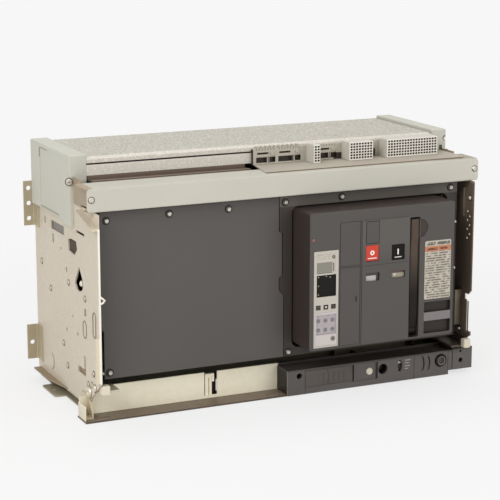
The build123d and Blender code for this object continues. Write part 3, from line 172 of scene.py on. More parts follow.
floor_half = 30.0
floor_level = -0.0006
floor_near = 0.5
floor_far = 1.5
paper_white = srgb(247, 247, 247)
paper_roughness = 0.85
paper_glow = 0.75
floor_signs = ((-1, -1), (1, -1), (1, 1), (-1, 1))
floor_corners = [(x * floor_half, y * floor_half, floor_level) for x, y in floor_signs]
floor_mesh = bpy.data.meshes.new("floor")
floor_mesh.from_pydata(floor_corners, [], [(0, 1, 2, 3)])
floor = bpy.data.objects.new("floor", floor_mesh)
bpy.context.scene.collection.objects.link(floor)
paper = Finish("floor_paper", specular=0.1)
paper.shader.inputs["Base Color"].default_value = paper_white
paper.shader.inputs["Roughness"].default_value = paper_roughness
distance = paper.place.add("ShaderNodeVectorMath", {0: paper.place}, output=1, operation="LENGTH")
seen = paper.place.add("ShaderNodeLightPath", {})
away = (distance.ramp(floor_near, floor_far) * (1.0 - paper_glow) + paper_glow) * seen
glow = paper.place.add("ShaderNodeEmission", {"Color": paper_white, "Strength": 1.0})
sheet = Shade(paper.place.tree, paper.shader.outputs[0])
blend = paper.place.add("ShaderNodeMixShader", {0: away, 1: sheet, 2: glow})
paper.place.tree.links.new(blend.socket, paper.place.tree.nodes["Material Output"].inputs["Surface"])
floor_mesh.materials.append(paper.material)

# Studio light: an even pale room and three large soft boxes, the strongest one high
# on the left, so that the left side is brightest and the front stays plain. The room
# lights dull faces with about half of what reflections show, which keeps the gaps deep.
room_colour = (1.0, 0.995, 0.985, 1.0)
room_light = 0.50
room_shine = 0.44
world = bpy.data.worlds.new("room")
world.use_nodes = True
bpy.context.scene.world = world
paths = world.node_tree.nodes.new("ShaderNodeLightPath")
camera_ray = Shade(world.node_tree, paths.outputs["Is Camera Ray"])
glossy_ray = Shade(world.node_tree, paths.outputs["Is Glossy Ray"])
through_ray = Shade(world.node_tree, paths.outputs["Is Transmission Ray"])
direct = (camera_ray + glossy_ray + through_ray).ramp(0.0, 1.0)
strength = direct * room_shine + room_light
world.node_tree.links.new(strength.socket, world.node_tree.nodes["Background"].inputs["Strength"])
world.node_tree.nodes["Background"].inputs["Color"].default_value = room_colour


def soft_box(name, place, target, size, power):
    """A rectangular lamp at a place, aimed at a target."""
    light = bpy.data.lights.new(name, "AREA")
    light.shape = "RECTANGLE"
    light.size, light.size_y = size
    light.energy = power
    lamp = bpy.data.objects.new(name, light)
    lamp.location = place
    lamp.rotation_euler = (Vector(target) - Vector(place)).to_track_quat("-Z", "Y").to_euler()
    bpy.context.scene.collection.objects.link(lamp)


soft_box("key_box", place=(-2.6, -1.9, 2.4), target=(0, 0, 0.25), size=(2.2, 1.6), power=62.0)
soft_box("fill_box", place=(1.6, -3.2, 1.5), target=(0.1, -0.1, 0.2), size=(2.4, 1.8), power=34.0)
soft_box("top_box", place=(0.2, 0.4, 2.6), target=(0, 0, 0.4), size=(2.0, 1.4), power=16.0)


# Side plates: 3 mm sheet steel with a warm passivated coat, laser cut and folded. The coat
# clouds over a hand's width and is finely porous; the folded front hem is bare and bright.
# Painted shade darkens the inner faces, the right plate's front edge, the foot and the slope.
def sheet_steel(name, colour, dark, metallic, roughness, cloud=0.35, grain=0.05, spangle=0.0):
    """Sheet that clouds from a colour to a darker one, with rolled grain and zinc flowers."""
    finish = Finish(name, metallic)
    clouds = finish.noise(7.0, 5.0)
    rolled = finish.noise(1.0, 3.0, (40.0, 40.0, 900.0))
    mask = clouds.ramp(0.35, 0.72) * cloud + rolled.ramp(0.3, 0.7) * grain
    if spangle:
        cells = clouds.add("ShaderNodeTexVoronoi", {"Vector": finish.place, "Scale": 95.0}, output="Color")
        mask = mask + cells.add("ShaderNodeSeparateColor", {0: cells}) * spangle
    finish.paint(mask.tint(colour, dark))
    finish.roughen(rolled, 0.0004, 0.12, roughness - 0.08, 0.16)
    return finish


def clothe(finish, *names):
    """Gives CAD nodes their finish."""
    for name in names:
        materials = nodes[name].data.materials
        materials.clear()
        materials.append(finish.material)


def ease_edges(width, *names):
    """Rounds the sharp edges of CAD nodes a little, as deburring or a mould does."""
    for name in names:
        weld = nodes[name].modifiers.new("weld", "WELD")
        weld.merge_threshold = 0.000002
        bevel = nodes[name].modifiers.new("edges", "BEVEL")
        bevel.width = width
        bevel.segments = 2
        bevel.limit_method = "ANGLE"
        bevel.angle_limit = radians(40)


plate_inner_face = 390.3
plate_outer_face = 394.0
plate_foot_level = 24.0
plate_slope_level = 388.0
plate_slope_end = -66.0
hem_rear = -193.5
right_front = -188.5
right_edge_x = 380.0
plate_steel = sheet_steel("passivated_sheet", srgb(213, 203, 186), srgb(196, 186, 166), 0.3, 0.46)
from_middle = plate_steel.x.math("ABSOLUTE")
pores = plate_steel.noise(330.0, 3.0)
plate_steel.coat(pores.ramp(0.54, 0.72) * 0.3, srgb(230, 222, 206))
plate_steel.coat(pores.ramp(0.46, 0.30) * 0.35, srgb(166, 152, 130))
plate_steel.coat(plate_steel.y.ramp(hem_rear + 2, hem_rear - 2), srgb(242, 237, 224))
lower_hem = from_middle.ramp(plate_outer_face + 0.3, plate_outer_face + 1.3)
lower_hem = lower_hem * plate_steel.y.ramp(hem_rear + 4, hem_rear + 2)
plate_steel.coat(lower_hem, srgb(216, 206, 180))
# Painted shade: the inner faces of both plates are darkened.
plate_steel.coat(from_middle.ramp(plate_inner_face + 0.2, plate_inner_face - 0.2), srgb(122, 108, 94))
# Painted shade on the front edge of the right plate.
right_edge_shade = plate_steel.x.ramp(right_edge_x, right_edge_x + 6)
right_edge_shade = right_edge_shade * plate_steel.y.ramp(right_front + 0.4, right_front + 0.1)
plate_steel.coat(right_edge_shade, srgb(92, 78, 65))
# Painted shade on the top of the foot.
foot_top_shade = from_middle.ramp(plate_outer_face - 0.3, plate_outer_face + 0.3)
foot_top_shade = foot_top_shade * plate_steel.z.ramp(plate_foot_level + 1, plate_foot_level - 1)
plate_steel.coat(foot_top_shade, srgb(152, 136, 112))
# Painted shade on the folded slope.
slope_top_shade = plate_steel.z.ramp(plate_slope_level, plate_slope_level + 4)
slope_top_shade = slope_top_shade * plate_steel.y.ramp(plate_slope_end, plate_slope_end - 6)
plate_steel.coat(slope_top_shade, srgb(168, 152, 130))
clothe(plate_steel, "side_plate_left", "side_plate_right")


# Pressed marks on the left plate: the beads round the latch and its slot, a half ring
# from a locating punch, and the bright nub of the interlock lever at the front edge.
def piece(name, mesh, finish, body):
    """Puts a finished mesh in the scene and lets it ride on a body."""
    mesh.materials.clear()
    mesh.materials.append(finish.material)
    shape = bpy.data.objects.new(name, mesh)
    bpy.context.scene.collection.objects.link(shape)
    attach(shape, body)


def soften(mesh, angle=35):
    """Smooth shading that keeps corners sharp."""
    for face in mesh.polygons:
        face.use_smooth = True
    mesh.set_sharp_from_angle(angle=radians(angle))


def bead(name, path, radius, closed):
    """A round bead along a path of points in millimetres, as a mesh."""
    curve = bpy.data.curves.new(name, "CURVE")
    curve.dimensions = "3D"
    curve.bevel_depth = radius * mm
    curve.bevel_resolution = 2
    curve.use_fill_caps = True
    run = curve.splines.new("POLY")
    run.points.add(len(path) - 1)
    for point, at in zip(run.points, path):
        point.co = (*(Vector(at) * mm), 1.0)
    run.use_cyclic_u = closed
    maker = bpy.data.objects.new(name + "_curve", curve)
    bpy.context.scene.collection.objects.link(maker)
    mesh = bpy.data.meshes.new_from_object(maker.evaluated_get(bpy.context.evaluated_depsgraph_get()))
    bpy.data.objects.remove(maker)
    soften(mesh)
    return mesh


left_face = -393.0
mark_steel = sheet_steel("bead_steel", srgb(148, 134, 114), srgb(118, 104, 86), 0.3, 0.4)
slot_steps = 24
slot_beads = {"latch_bead": (-169.0, 183.5, 15.0, 47.0, 1.5), "slot_bead": (-116.0, 163.0, 18.0, 32.0, 1.2)}
for name, (centre_y, centre_z, width, height, radius) in slot_beads.items():
    half = width / 2
    straight = height / 2 - half
    outline = []
    for step in range(slot_steps):
        angle = 2 * pi * (step + 0.5) / slot_steps
        shift = straight if sin(angle) > 0 else -straight
        outline.append((left_face, centre_y + half * cos(angle), centre_z + shift + half * sin(angle)))
    piece(name, bead(name, outline, radius, True), mark_steel, "chassis")

punch_y = 86.0
punch_z = 52.0
punch_radius = 17.0
punch_start = 110
punch_sweep = 140
punch_steps = 12
punch_path = []
for step in range(punch_steps + 1):
    angle = radians(punch_start + punch_sweep * step / punch_steps)
    punch_path.append((left_face, punch_y + punch_radius * cos(angle), punch_z + punch_radius * sin(angle)))
piece("punch_bead", bead("punch_bead", punch_path, 1.0, False), mark_steel, "chassis")

nub_path = [(-391.5, -196.5, 243.0), (-388.0, -199.5, 240.0), (-384.0, -200.5, 236.5),
            (-387.0, -199.5, 232.0), (-391.5, -196.5, 229.0)]
nub_white = sheet_steel("nub_white", srgb(236, 230, 218), srgb(208, 200, 184), 0.2, 0.4)
piece("lever_nub", bead("lever_nub", nub_path, 2.0, False), nub_white, "chassis")


# Side rivets: button heads with a turned dimple, each in a dark ring of painted shadow.
# They close the rivets that carry the rails on both plates. Two larger bright bosses of
# the same make are the pivot and the catch of the latch on the left.
class Recipe:
    """A Geometry Nodes tree with named inputs for its sizes and finishes."""

    def __init__(self, name, sizes, finishes):
        self.tree = bpy.data.node_groups.new(name, "GeometryNodeTree")
        sockets = self.tree.interface
        sockets.new_socket("Places", in_out="INPUT", socket_type="NodeSocketGeometry")
        sockets.new_socket("Result", in_out="OUTPUT", socket_type="NodeSocketGeometry")
        for label, value in sizes.items():
            sockets.new_socket(label, in_out="INPUT", socket_type="NodeSocketFloat").default_value = value
        for label in finishes:
            sockets.new_socket(label, in_out="INPUT", socket_type="NodeSocketMaterial")
        enter = self.tree.nodes.new("NodeGroupInput")
        self.given = {socket.name: Shade(self.tree, socket) for socket in enter.outputs if socket.name}

    def cone(self, bottom, top, depth, lift=0.0, sides=24):
        """A turned step that stands on z = lift."""
        links = {"Vertices": sides, "Radius Bottom": bottom, "Radius Top": top, "Depth": depth}
        step = self.given["Places"].add("GeometryNodeMeshCone", links)
        return self.moved(step, lift)

    def box(self, size_x, size_y, size_z, lift):
        """A cuboid whose middle is at z = lift."""
        size = lift.add("ShaderNodeCombineXYZ", {0: size_x, 1: size_y, 2: size_z})
        return self.moved(lift.add("GeometryNodeMeshCube", {"Size": size}), lift)

    def moved(self, part, lift):
        """The part raised by a lift."""
        up = part.add("ShaderNodeCombineXYZ", {0: 0.0, 1: 0.0, 2: lift})
        return part.add("GeometryNodeTransform", {"Geometry": part, "Translation": up})

    def cut(self, part, *tools):
        """The part less the tools."""
        node = self.tree.nodes.new("GeometryNodeMeshBoolean")
        node.operation = "DIFFERENCE"
        node.solver = "EXACT"
        self.tree.links.new(part.socket, node.inputs["Mesh 1"])
        for tool in tools:
            self.tree.links.new(tool.socket, node.inputs["Mesh 2"])
        return Shade(self.tree, node.outputs["Mesh"])

    def repeat(self, *dressed):
        """Puts the dressed parts on every place, turned to its facing, and ends the tree."""
        facing = self.given["Places"].add("GeometryNodeInputNamedAttribute", {"Name": "facing"},
                                          data_type="FLOAT_VECTOR")
        turn = facing.add("FunctionNodeAlignRotationToVector", {"Vector": facing}, axis="Z")
        join = self.tree.nodes.new("GeometryNodeJoinGeometry")
        for part, finish in dressed:
            spread = part.add("GeometryNodeInstanceOnPoints",
                              {"Points": self.given["Places"], "Instance": part, "Rotation": turn})
            real = spread.add("GeometryNodeRealizeInstances", {"Geometry": spread})
            coated = real.add("GeometryNodeSetMaterial", {"Geometry": real, "Material": self.given[finish]})
            self.tree.links.new(coated.socket, join.inputs[0])
        leave = self.tree.nodes.new("NodeGroupOutput")
        self.tree.links.new(join.outputs[0], leave.inputs[0])

    def make(self, name, places, body, sizes, finishes):
        """The plain mesh of the recipe on places, each a point and a facing in millimetres."""
        mesh = bpy.data.meshes.new(name + "_places")
        mesh.from_pydata([Vector(at) * mm for at, way in places], [], [])
        facing = mesh.attributes.new("facing", "FLOAT_VECTOR", "POINT")
        for index, (at, way) in enumerate(places):
            facing.data[index].vector = way
        shape = bpy.data.objects.new(name, mesh)
        bpy.context.scene.collection.objects.link(shape)
        modifier = shape.modifiers.new("recipe", "NODES")
        modifier.node_group = self.tree
        for socket in self.tree.interface.items_tree:
            if socket.name in sizes:
                modifier[socket.identifier] = sizes[socket.name] * mm
            if socket.name in finishes:
                modifier[socket.identifier] = finishes[socket.name].material
        plain = bpy.data.meshes.new_from_object(shape.evaluated_get(bpy.context.evaluated_depsgraph_get()))
        shape.modifiers.clear()
        shape.data = plain
        soften(plain)
        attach(shape, body)
        return shape


def bright_metal(name, colour, roughness, metallic=0.85):
    """Plated or turned metal with fine marks a quarter darker than its colour."""
    finish = Finish(name, metallic)
    marks = finish.noise(420.0)
    finish.paint(marks.ramp(0.3, 0.7).tint(colour, tuple(0.74 * c for c in colour[:3]) + (1.0,)))
    finish.roughen(marks, 0.0002, 0.06, roughness, 0.2)
    return finish


rivet = Recipe("rivet_head", {"Head Radius": 0.0048, "Head Rise": 0.0026, "Dimple Radius": 0.0016,
                              "Ring Radius": 0.0068, "Ring Rise": 0.0003}, ("Head Finish", "Ring Finish"))
rivet_radius = rivet.given["Head Radius"]
rivet_rise = rivet.given["Head Rise"]
dimple_radius = rivet.given["Dimple Radius"]
ring_radius = rivet.given["Ring Radius"]
button = rivet.cone(rivet_radius, rivet_radius * 0.82, rivet_rise)
dimple = rivet.cone(dimple_radius, dimple_radius * 1.2, rivet_rise, rivet_rise * 0.55, 12)
shadow_ring = rivet.cone(ring_radius, ring_radius * 0.96, rivet.given["Ring Rise"])
rivet.repeat((rivet.cut(button, dimple), "Head Finish"), (shadow_ring, "Ring Finish"))
zinc = bright_metal("bright_zinc", srgb(222, 216, 204), 0.22)
rivet_steel = bright_metal("rivet_steel", srgb(206, 194, 174), 0.3, 0.6)
# Painted shadow: the dark ring round each rivet head and boss.
ring_shadow = sheet_steel("ring_shadow", srgb(104, 92, 78), srgb(84, 74, 62), 0.1, 0.5)
rivet_places = ((130, 242), (-29, 233), (-120, 222), (7, 107), (-14, 68), (78, 199), (-160, 90),
                (-150, 66), (-130, 62))
both_sides = [((side * -left_face, y, z), (side, 0, 0)) for side in (-1, 1) for y, z in rivet_places]
rivet_heads = rivet.make("rivet_heads", both_sides, "chassis", {},
                         {"Head Finish": rivet_steel, "Ring Finish": ring_shadow})
clothe(zinc, "side_rivets")
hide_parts("side_rivets")
boss_steel = bright_metal("boss_steel", srgb(232, 224, 206), 0.3, 0.3)
boss_finishes = {"Head Finish": boss_steel, "Ring Finish": ring_shadow}
for name, y, z, radius in (("pivot_boss", -134.0, 48.0, 11.0), ("latch_boss", -166.0, 64.0, 6.5)):
    boss_sizes = {"Head Radius": radius, "Head Rise": 3.2, "Dimple Radius": radius * 0.4,
                  "Ring Radius": radius + 2.0}
    rivet.make(name, [((left_face, y, z), (-1, 0, 0))], "chassis", boss_sizes, boss_finishes)

# Behind the windows of the left plate: the bright end of the interlock roller in the
# drop-shaped one, a grey guard sheet that closes the long one at the top, and brown
# sheets of painted shade behind the small one below that and behind the slot near the foot.
roller_turn = Recipe("roller_end", {"Radius": 0.0056, "Length": 0.006}, ("Head Finish",))
roller_radius = roller_turn.given["Radius"]
roller_length = roller_turn.given["Length"]
roller_body = roller_turn.cone(roller_radius, roller_radius, roller_length)
roller_cap = roller_turn.cone(roller_radius, roller_radius * 0.5, roller_radius * 0.4, roller_length)
roller_turn.repeat((roller_body, "Head Finish"), (roller_cap, "Head Finish"))
roller_place = [((-383.0, -88.2, 243.3), (-1, 0, 0))]
roller_turn.make("interlock_roller", roller_place, "chassis", {}, {"Head Finish": nub_white})


def rounded_boxes(name, boxes, edge):
    """One mesh of boxes, each from its low to its high corner in millimetres, with eased edges."""
    build = bmesh.new()
    for low, high in boxes:
        made = bmesh.ops.create_cube(build, size=1.0)["verts"]
        for vert in made:
            vert.co = [(high[axis] if vert.co[axis] > 0 else low[axis]) * mm for axis in range(3)]
    bmesh.ops.bevel(build, geom=list(build.edges), offset=edge * mm, segments=2, affect="EDGES", profile=0.5)
    bmesh.ops.recalc_face_normals(build, faces=build.faces)
    mesh = bpy.data.meshes.new(name)
    build.to_mesh(mesh)
    build.free()
    soften(mesh)
    return mesh


def side_sheet(name, outline, low_x, high_x):
    """A sheet that stands upright in the side view: its outline (y, z) and its two faces."""
    count = len(outline)
    points = [(x * mm, y * mm, z * mm) for x in (low_x, high_x) for y, z in outline]
    faces = [tuple(range(count)), tuple(range(count, 2 * count))]
    for index in range(count):
        after = (index + 1) % count
        faces.append((index, after, after + count, index + count))
    mesh = bpy.data.meshes.new(name)
    mesh.from_pydata(points, [], faces)
    build = bmesh.new()
    build.from_mesh(mesh)
    bmesh.ops.recalc_face_normals(build, faces=build.faces)
    build.to_mesh(mesh)
    build.free()
    return mesh


guard_grey = sheet_steel("guard_grey", srgb(132, 128, 122), srgb(110, 106, 100), 0.1, 0.5)
guard_box = ((-389.9, -8.0, 300.0), (-388.7, 66.0, 340.0))
piece("window_guard", rounded_boxes("window_guard", [guard_box], 0.3), guard_grey, "chassis")
# Painted shade: brown sheets stand behind the windows where there is only shade.
shade_brown = sheet_steel("shade_brown", srgb(78, 58, 50), srgb(62, 46, 40), 0.1, 0.6)
lower_shade_sheet = shade_brown.z.ramp(200.0, 190.0)
shade_brown.coat(lower_shade_sheet, srgb(140, 124, 100))
shade_sheet_boxes = [((-389.9, -70.0, 276.0), (-388.9, -14.0, 328.0)),
              ((-389.9, -112.0, 56.0), (-388.9, -62.0, 96.0))]
piece("window_shade_sheets", rounded_boxes("window_shade_sheets", shade_sheet_boxes, 0.3), shade_brown, "chassis")

# Corner gusset: the left plate runs on above its folded slope as a thin sheet up to the
# top beam, and it shows between the beam and the blanking plate.
gusset_outline = ((-196.5, 366.3), (-196.5, 391.6), (-108.5, 391.6), (-108.5, 387.0))
gusset_faces = (-391.5, -390.3)
gusset_steel = sheet_steel("gusset_steel", srgb(214, 203, 184), srgb(196, 184, 164), 0.2, 0.5)
piece("corner_gusset", side_sheet("corner_gusset", gusset_outline, *gusset_faces), gusset_steel, "chassis")


# Top beam and shelf: folded sheet with light grey-beige paint, a little orange-peeled by
# the spray. The beam's left end tab is bare, and painted shade browns its crown towards the
# right. The shelf behind it, which carries the terminals, is browner, with a darker front edge.
def painted(name, colour, dark, roughness, peel=0.10, size=260.0, specular=0.4):
    """Sprayed paint that clouds from a colour to a darker one, with a fine relief."""
    finish = Finish(name, specular=specular)
    clouds = finish.noise(5.0, 4.0)
    skin = finish.noise(size, 2.0)
    finish.paint((clouds.ramp(0.3, 0.7) * 0.6 + skin * 0.3).tint(colour, dark))
    finish.roughen(skin, 0.0005, peel, roughness - 0.06, 0.12)
    return finish


beam_end = -392.8
beam_face = -176.8
crown_level = 435.0
crown_shade_x = 290.0
beam_paint = painted("beam_paint", srgb(197, 194, 182), srgb(189, 186, 173), 0.5)
bare_tab = beam_paint.x.ramp(beam_end + 0.3, beam_end - 0.3)
bare_tab = bare_tab * beam_paint.y.ramp(beam_face - 0.3, beam_face + 0.3)
beam_paint.coat(bare_tab, srgb(170, 154, 132))
# Painted shade browns the beam's crown towards the right.
crown_shade = beam_paint.z.ramp(crown_level, crown_level + 0.6) * beam_paint.y.ramp(-174.0, -170.0)
crown_shade = crown_shade * beam_paint.x.ramp(crown_shade_x, crown_shade_x + 60)
beam_paint.coat(crown_shade * 0.8, srgb(150, 139, 124))
clothe(beam_paint, "top_beam")
shelf_front = -161.0
shelf_paint = painted("shelf_paint", srgb(184, 177, 163), srgb(166, 157, 142), 0.55)
shelf_paint.coat(shelf_paint.y.ramp(shelf_front + 3.2, shelf_front + 2.4), srgb(128, 112, 96))
clothe(shelf_paint, "terminal_shelf")
ease_edges(0.0004, "top_beam")

# Beam and cheek screws: zinc-plated pan heads with a cross recess on dark washers, and
# slotted cheese heads on the cheeks.
screw = Recipe("screw_head", {"Washer Radius": 0.0075, "Washer Rise": 0.0012, "Head Radius": 0.005,
                              "Head Rise": 0.0034, "Recess Length": 0.0052, "Recess Width": 0.0012,
                              "Cross Length": 0.0052}, ("Head Finish", "Washer Finish"))
washer_radius = screw.given["Washer Radius"]
washer_rise = screw.given["Washer Rise"]
pan_radius = screw.given["Head Radius"]
pan_rise = screw.given["Head Rise"]
recess_width = screw.given["Recess Width"]
pan_top = washer_rise + pan_rise
washer = screw.cone(washer_radius, washer_radius * 0.94, washer_rise)
pan = screw.cone(pan_radius, pan_radius * 0.7, pan_rise, washer_rise)
recess = screw.box(screw.given["Recess Length"], recess_width, pan_rise, pan_top)
cross = screw.box(recess_width, screw.given["Cross Length"], pan_rise, pan_top)
screw.repeat((screw.cut(pan, recess, cross), "Head Finish"), (washer, "Washer Finish"))
dark_washer = bright_metal("blackened_washer", srgb(30, 26, 24), 0.4, 0.1)
cheek_steel = bright_metal("cheek_screw_steel", srgb(224, 218, 206), 0.3, 0.4)
zinc_on_dark = {"Head Finish": zinc, "Washer Finish": dark_washer}
beam_places = [((side * 397.5, -178.4, 416.0), (0, -1, 0)) for side in (-1, 1)]
beam_sizes = {"Washer Radius": 6.6, "Washer Rise": 0.3, "Head Radius": 5.4, "Head Rise": 2.3,
              "Recess Length": 5.6, "Cross Length": 5.6}
beam_screws = screw.make("beam_screws", beam_places, "chassis", beam_sizes, zinc_on_dark)
cheek_places = [((side * 400.3, -65.3, 431.0), (0, -1, 0)) for side in (-1, 1)]
cheek_sizes = {"Washer Radius": 7.6, "Washer Rise": 1.0, "Head Radius": 6.4, "Head Rise": 4.6,
               "Recess Length": 13.5, "Recess Width": 1.4, "Cross Length": 1.0}
cheek_screws = screw.make("cheek_screws", cheek_places, "chassis", cheek_sizes,
                          {"Head Finish": cheek_steel, "Washer Finish": dark_washer})
clothe(zinc, "chassis_screws")
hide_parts("chassis_screws")
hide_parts("chassis_screws")

# Base: a cross channel of bright galvanised sheet. Painted shade browns the top of its foot
# flange, and its upright keeps the flowers of hot zinc. The foot rails are plain galvanised.
# The extraction rails are painted dark as shade, all but a bright front end on the left one.
flange_top = 3.4
flange_lip = -170.4
behind_block = -3.0
base_zinc = sheet_steel("base_zinc", srgb(252, 245, 222), srgb(232, 222, 192), 0.05, 0.45,
                        cloud=0.3, grain=0.1, spangle=0.2)
# Painted shade browns the top of the foot flange.
base_zinc.coat(base_zinc.z.ramp(flange_top + 0.4, flange_top - 0.4), srgb(116, 102, 86))
base_zinc.coat(base_zinc.y.ramp(flange_lip + 0.3, flange_lip - 0.3), srgb(86, 72, 60))
block_shade = base_zinc.x.ramp(behind_block - 4, behind_block) * base_zinc.z.ramp(flange_top, flange_top + 2)
base_zinc.coat(block_shade, srgb(46, 40, 36))
clothe(base_zinc, "base_channel")
galvanised = sheet_steel("galvanised_sheet", srgb(196, 188, 166), srgb(170, 160, 138), 0.5, 0.42,
                         cloud=0.3, grain=0.1, spangle=0.22)
clothe(galvanised, "base_rails")
# Painted shade: the extraction rails are a darker copy of the galvanised sheet, with the left one's front end
# left bright.
shaded_rail_steel = sheet_steel("shaded_rail_steel", srgb(92, 82, 72), srgb(72, 64, 56), 0.4, 0.45,
                         cloud=0.3, grain=0.1, spangle=0.22)
bright_rail_end = shaded_rail_steel.y.ramp(-140.0, -150.0) * shaded_rail_steel.x.ramp(0.0, -10.0)
shaded_rail_steel.coat(bright_rail_end, srgb(206, 196, 172))
clothe(shaded_rail_steel, "rail_left", "rail_right")

# Inner steel: the carriage, shutter guides, mechanism plates and pole shaft, in galvanised
# sheet painted darker as the shade inside the chassis. Rollers, cam and closing spring are
# bright, and the racking screw is blackened.
# Painted shade: a darker copy of galvanised sheet for the parts inside.
shaded_inner_steel = sheet_steel("shaded_inner_steel", srgb(132, 124, 108), srgb(108, 98, 84), 0.4, 0.5,
                          cloud=0.4, grain=0.1, spangle=0.15)
clothe(shaded_inner_steel, "racking_carriage", "shutter_guides", "breaker_sides", "mechanism_frame", "pole_shaft")
clothe(zinc, "guide_rollers", "charging_cam", "closing_spring")
clothe(dark_washer, "racking_screw")

# End bracket: a small angle of bright passivated sheet, whose two leaves stand on the
# left end of the base flange.
front_leaf = ((-413.0, -166.0, 3.1), (-411.2, -127.0, 31.0))
rear_leaf = ((-411.6, -128.8, 3.1), (-393.2, -127.0, 40.0))
end_steel = sheet_steel("end_steel", srgb(226, 218, 196), srgb(204, 194, 170), 0.1, 0.45)
piece("end_bracket", rounded_boxes("end_bracket", [front_leaf, rear_leaf], 0.4), end_steel, "chassis")

# Brackets: angles and a corner leaf in yellow-olive passivated steel, bolted to the side
# plates. The coat of the corner leaf is paler.
olive = sheet_steel("olive_passivated", srgb(192, 181, 156), srgb(158, 146, 120), 0.35, 0.45,
                    cloud=0.6, grain=0.1)
corner_leaf = olive.z.ramp(62, 52) * olive.y.ramp(-60, -80)
olive.coat(corner_leaf, srgb(206, 194, 168))
clothe(olive, "brackets")


# Rear wall, shutters and inner mouldings: glass-filled thermoset with a mottled,
# slightly rough face, as pressed arc-resistant parts have.
def moulded(name, colour, dark, roughness, grain=0.25, size=620.0, mottle=0.4, specular=0.35):
    """Moulded plastic that mottles from a colour to a darker one, with a fine grain."""
    finish = Finish(name, specular=specular)
    clouds = finish.noise(9.0, 4.0)
    fine = finish.noise(size, 2.0)
    finish.paint((clouds.ramp(0.3, 0.7) * mottle + fine.ramp(0.3, 0.7) * grain).tint(colour, dark))
    finish.roughen(fine, 0.0003, 0.22, roughness - 0.08, 0.16)
    return finish


thermoset = moulded("tan_thermoset", srgb(150, 138, 118), srgb(128, 116, 96), 0.6)
clothe(thermoset, "rear_wall", "line_shutter", "load_shutter", "pole_case", "arc_chutes")
dark_moulding = moulded("dark_moulding", srgb(70, 68, 66), srgb(56, 54, 52), 0.5)
clothe(dark_moulding, "current_transformers")

# Power connectors, finger clusters and contacts: bars and fingers of copper with a dull
# tin-silver plate, held in the rear wall and in the pole case.
plated = bright_metal("plated_copper", srgb(206, 184, 162), 0.34)
clothe(plated, "connectors", "finger_clusters", "line_terminals", "load_terminals", "moving_contacts")

# End cheeks: smooth light grey moulded caps over the ends of the chassis. The edge of
# the shallow outer field has a fine line of painted shade at its corner and along its
# foot. On the front of the right one are a pale plug in a dark ring and a small dark slot.
cheek_grey = moulded("cheek_grey", srgb(197, 196, 183), srgb(189, 188, 174), 0.48, 0.15, 500.0, 0.5)
field_foot = 358.0
field_top = 470.0
field_rear = 108.0
# Painted shade: a fine dark line in the groove at the edge of the outer field.
field_edge_shade = srgb(128, 122, 106)
outer_skin = cheek_grey.x.math("ABSOLUTE").ramp(397.0, 397.6)
foot_line = cheek_grey.z.within(field_foot - 2.2, field_foot) * cheek_grey.y.within(-2, field_rear)
top_line = cheek_grey.z.within(field_top, field_top + 1.6) * cheek_grey.y.within(62, field_rear)
rear_line = cheek_grey.z.within(452, field_top) * cheek_grey.y.within(field_rear, field_rear + 4)
cheek_grey.coat((foot_line * 0.7 + (top_line + rear_line)) * outer_skin, field_edge_shade)
cheek_front = cheek_grey.y.ramp(-60.0, -64.0)
plug_ring = cheek_grey.disc((397.0, 461.0), 5.6)
plug = cheek_grey.disc((397.6, 460.0), 3.6)
cheek_slot = cheek_grey.patch((384.0, 438.0), (391.0, 447.5))
cheek_grey.coat(plug_ring * cheek_front, srgb(112, 103, 90))
cheek_grey.coat(plug * cheek_front, srgb(226, 220, 208))
cheek_grey.coat(cheek_slot * cheek_front, srgb(74, 66, 57))
clothe(cheek_grey, "end_cheek_left", "end_cheek_right")
ease_edges(0.0007, "end_cheek_left", "end_cheek_right")


# Arc chute hood: a moulded cover in grey sheet compound, whose short fibres show as
# pale and dark flecks. Painted light makes its front paler, with a dark joint across it,
# and painted shade darkens its foot in the gap over the beam.
def flecked(name, colour, pale, dark):
    """Sheet compound of one colour with pale fibres and dark specks in it."""
    finish = Finish(name, specular=0.3)
    fibres = finish.noise(240.0, 4.0)
    specks = finish.noise(330.0, 2.0)
    clouds = finish.noise(30.0)
    finish.paint(clouds.ramp(0.3, 0.7).tint(colour, tuple(0.93 * c for c in colour[:3]) + (1.0,)))
    finish.coat(fibres.ramp(0.52, 0.62) * 0.85, pale)
    finish.coat(specks.ramp(0.44, 0.34) * 0.9, dark)
    finish.shader.inputs["Roughness"].default_value = 0.62
    bump = fibres.add("ShaderNodeBump", {"Strength": 0.25, "Distance": 0.0006, "Height": fibres})
    bump.into(finish.shader, "Normal")
    return finish


hood_front = -65.0
hood_foot = 439.5
joint_level = 461.0
joint_dark_and_gap_shade = srgb(58, 46, 38)
right_joint_x = 363.4
hood_grey = flecked("hood_compound", srgb(188, 184, 172), srgb(220, 217, 207), srgb(148, 142, 131))
at_front = hood_grey.y.ramp(hood_front + 9.0, hood_front + 8.0)
# Painted light: the front bands above and below the joint are made paler.
hood_grey.coat(hood_grey.z.within(joint_level + 1.6, 475.0) * at_front * 0.5, srgb(232, 224, 214))
hood_grey.coat(hood_grey.z.within(hood_foot, joint_level - 1.6) * at_front * 0.6, srgb(236, 230, 220))
hood_grey.coat(hood_grey.z.within(joint_level - 3.4, joint_level - 1.6) * at_front, srgb(224, 216, 204))
hood_grey.coat(hood_grey.z.within(joint_level - 1.5, joint_level + 1.5) * at_front, joint_dark_and_gap_shade)
# Painted shade along the foot, in the gap over the beam.
hood_grey.coat(hood_grey.z.ramp(hood_foot + 0.3, hood_foot - 0.3), joint_dark_and_gap_shade)
right_joint = hood_grey.x.ramp(right_joint_x, right_joint_x + 0.8) * hood_grey.z.ramp(471.0, 472.0)
hood_grey.coat(right_joint, srgb(96, 84, 72))
clothe(hood_grey, "chute_hood")
ease_edges(0.0008, "chute_hood")

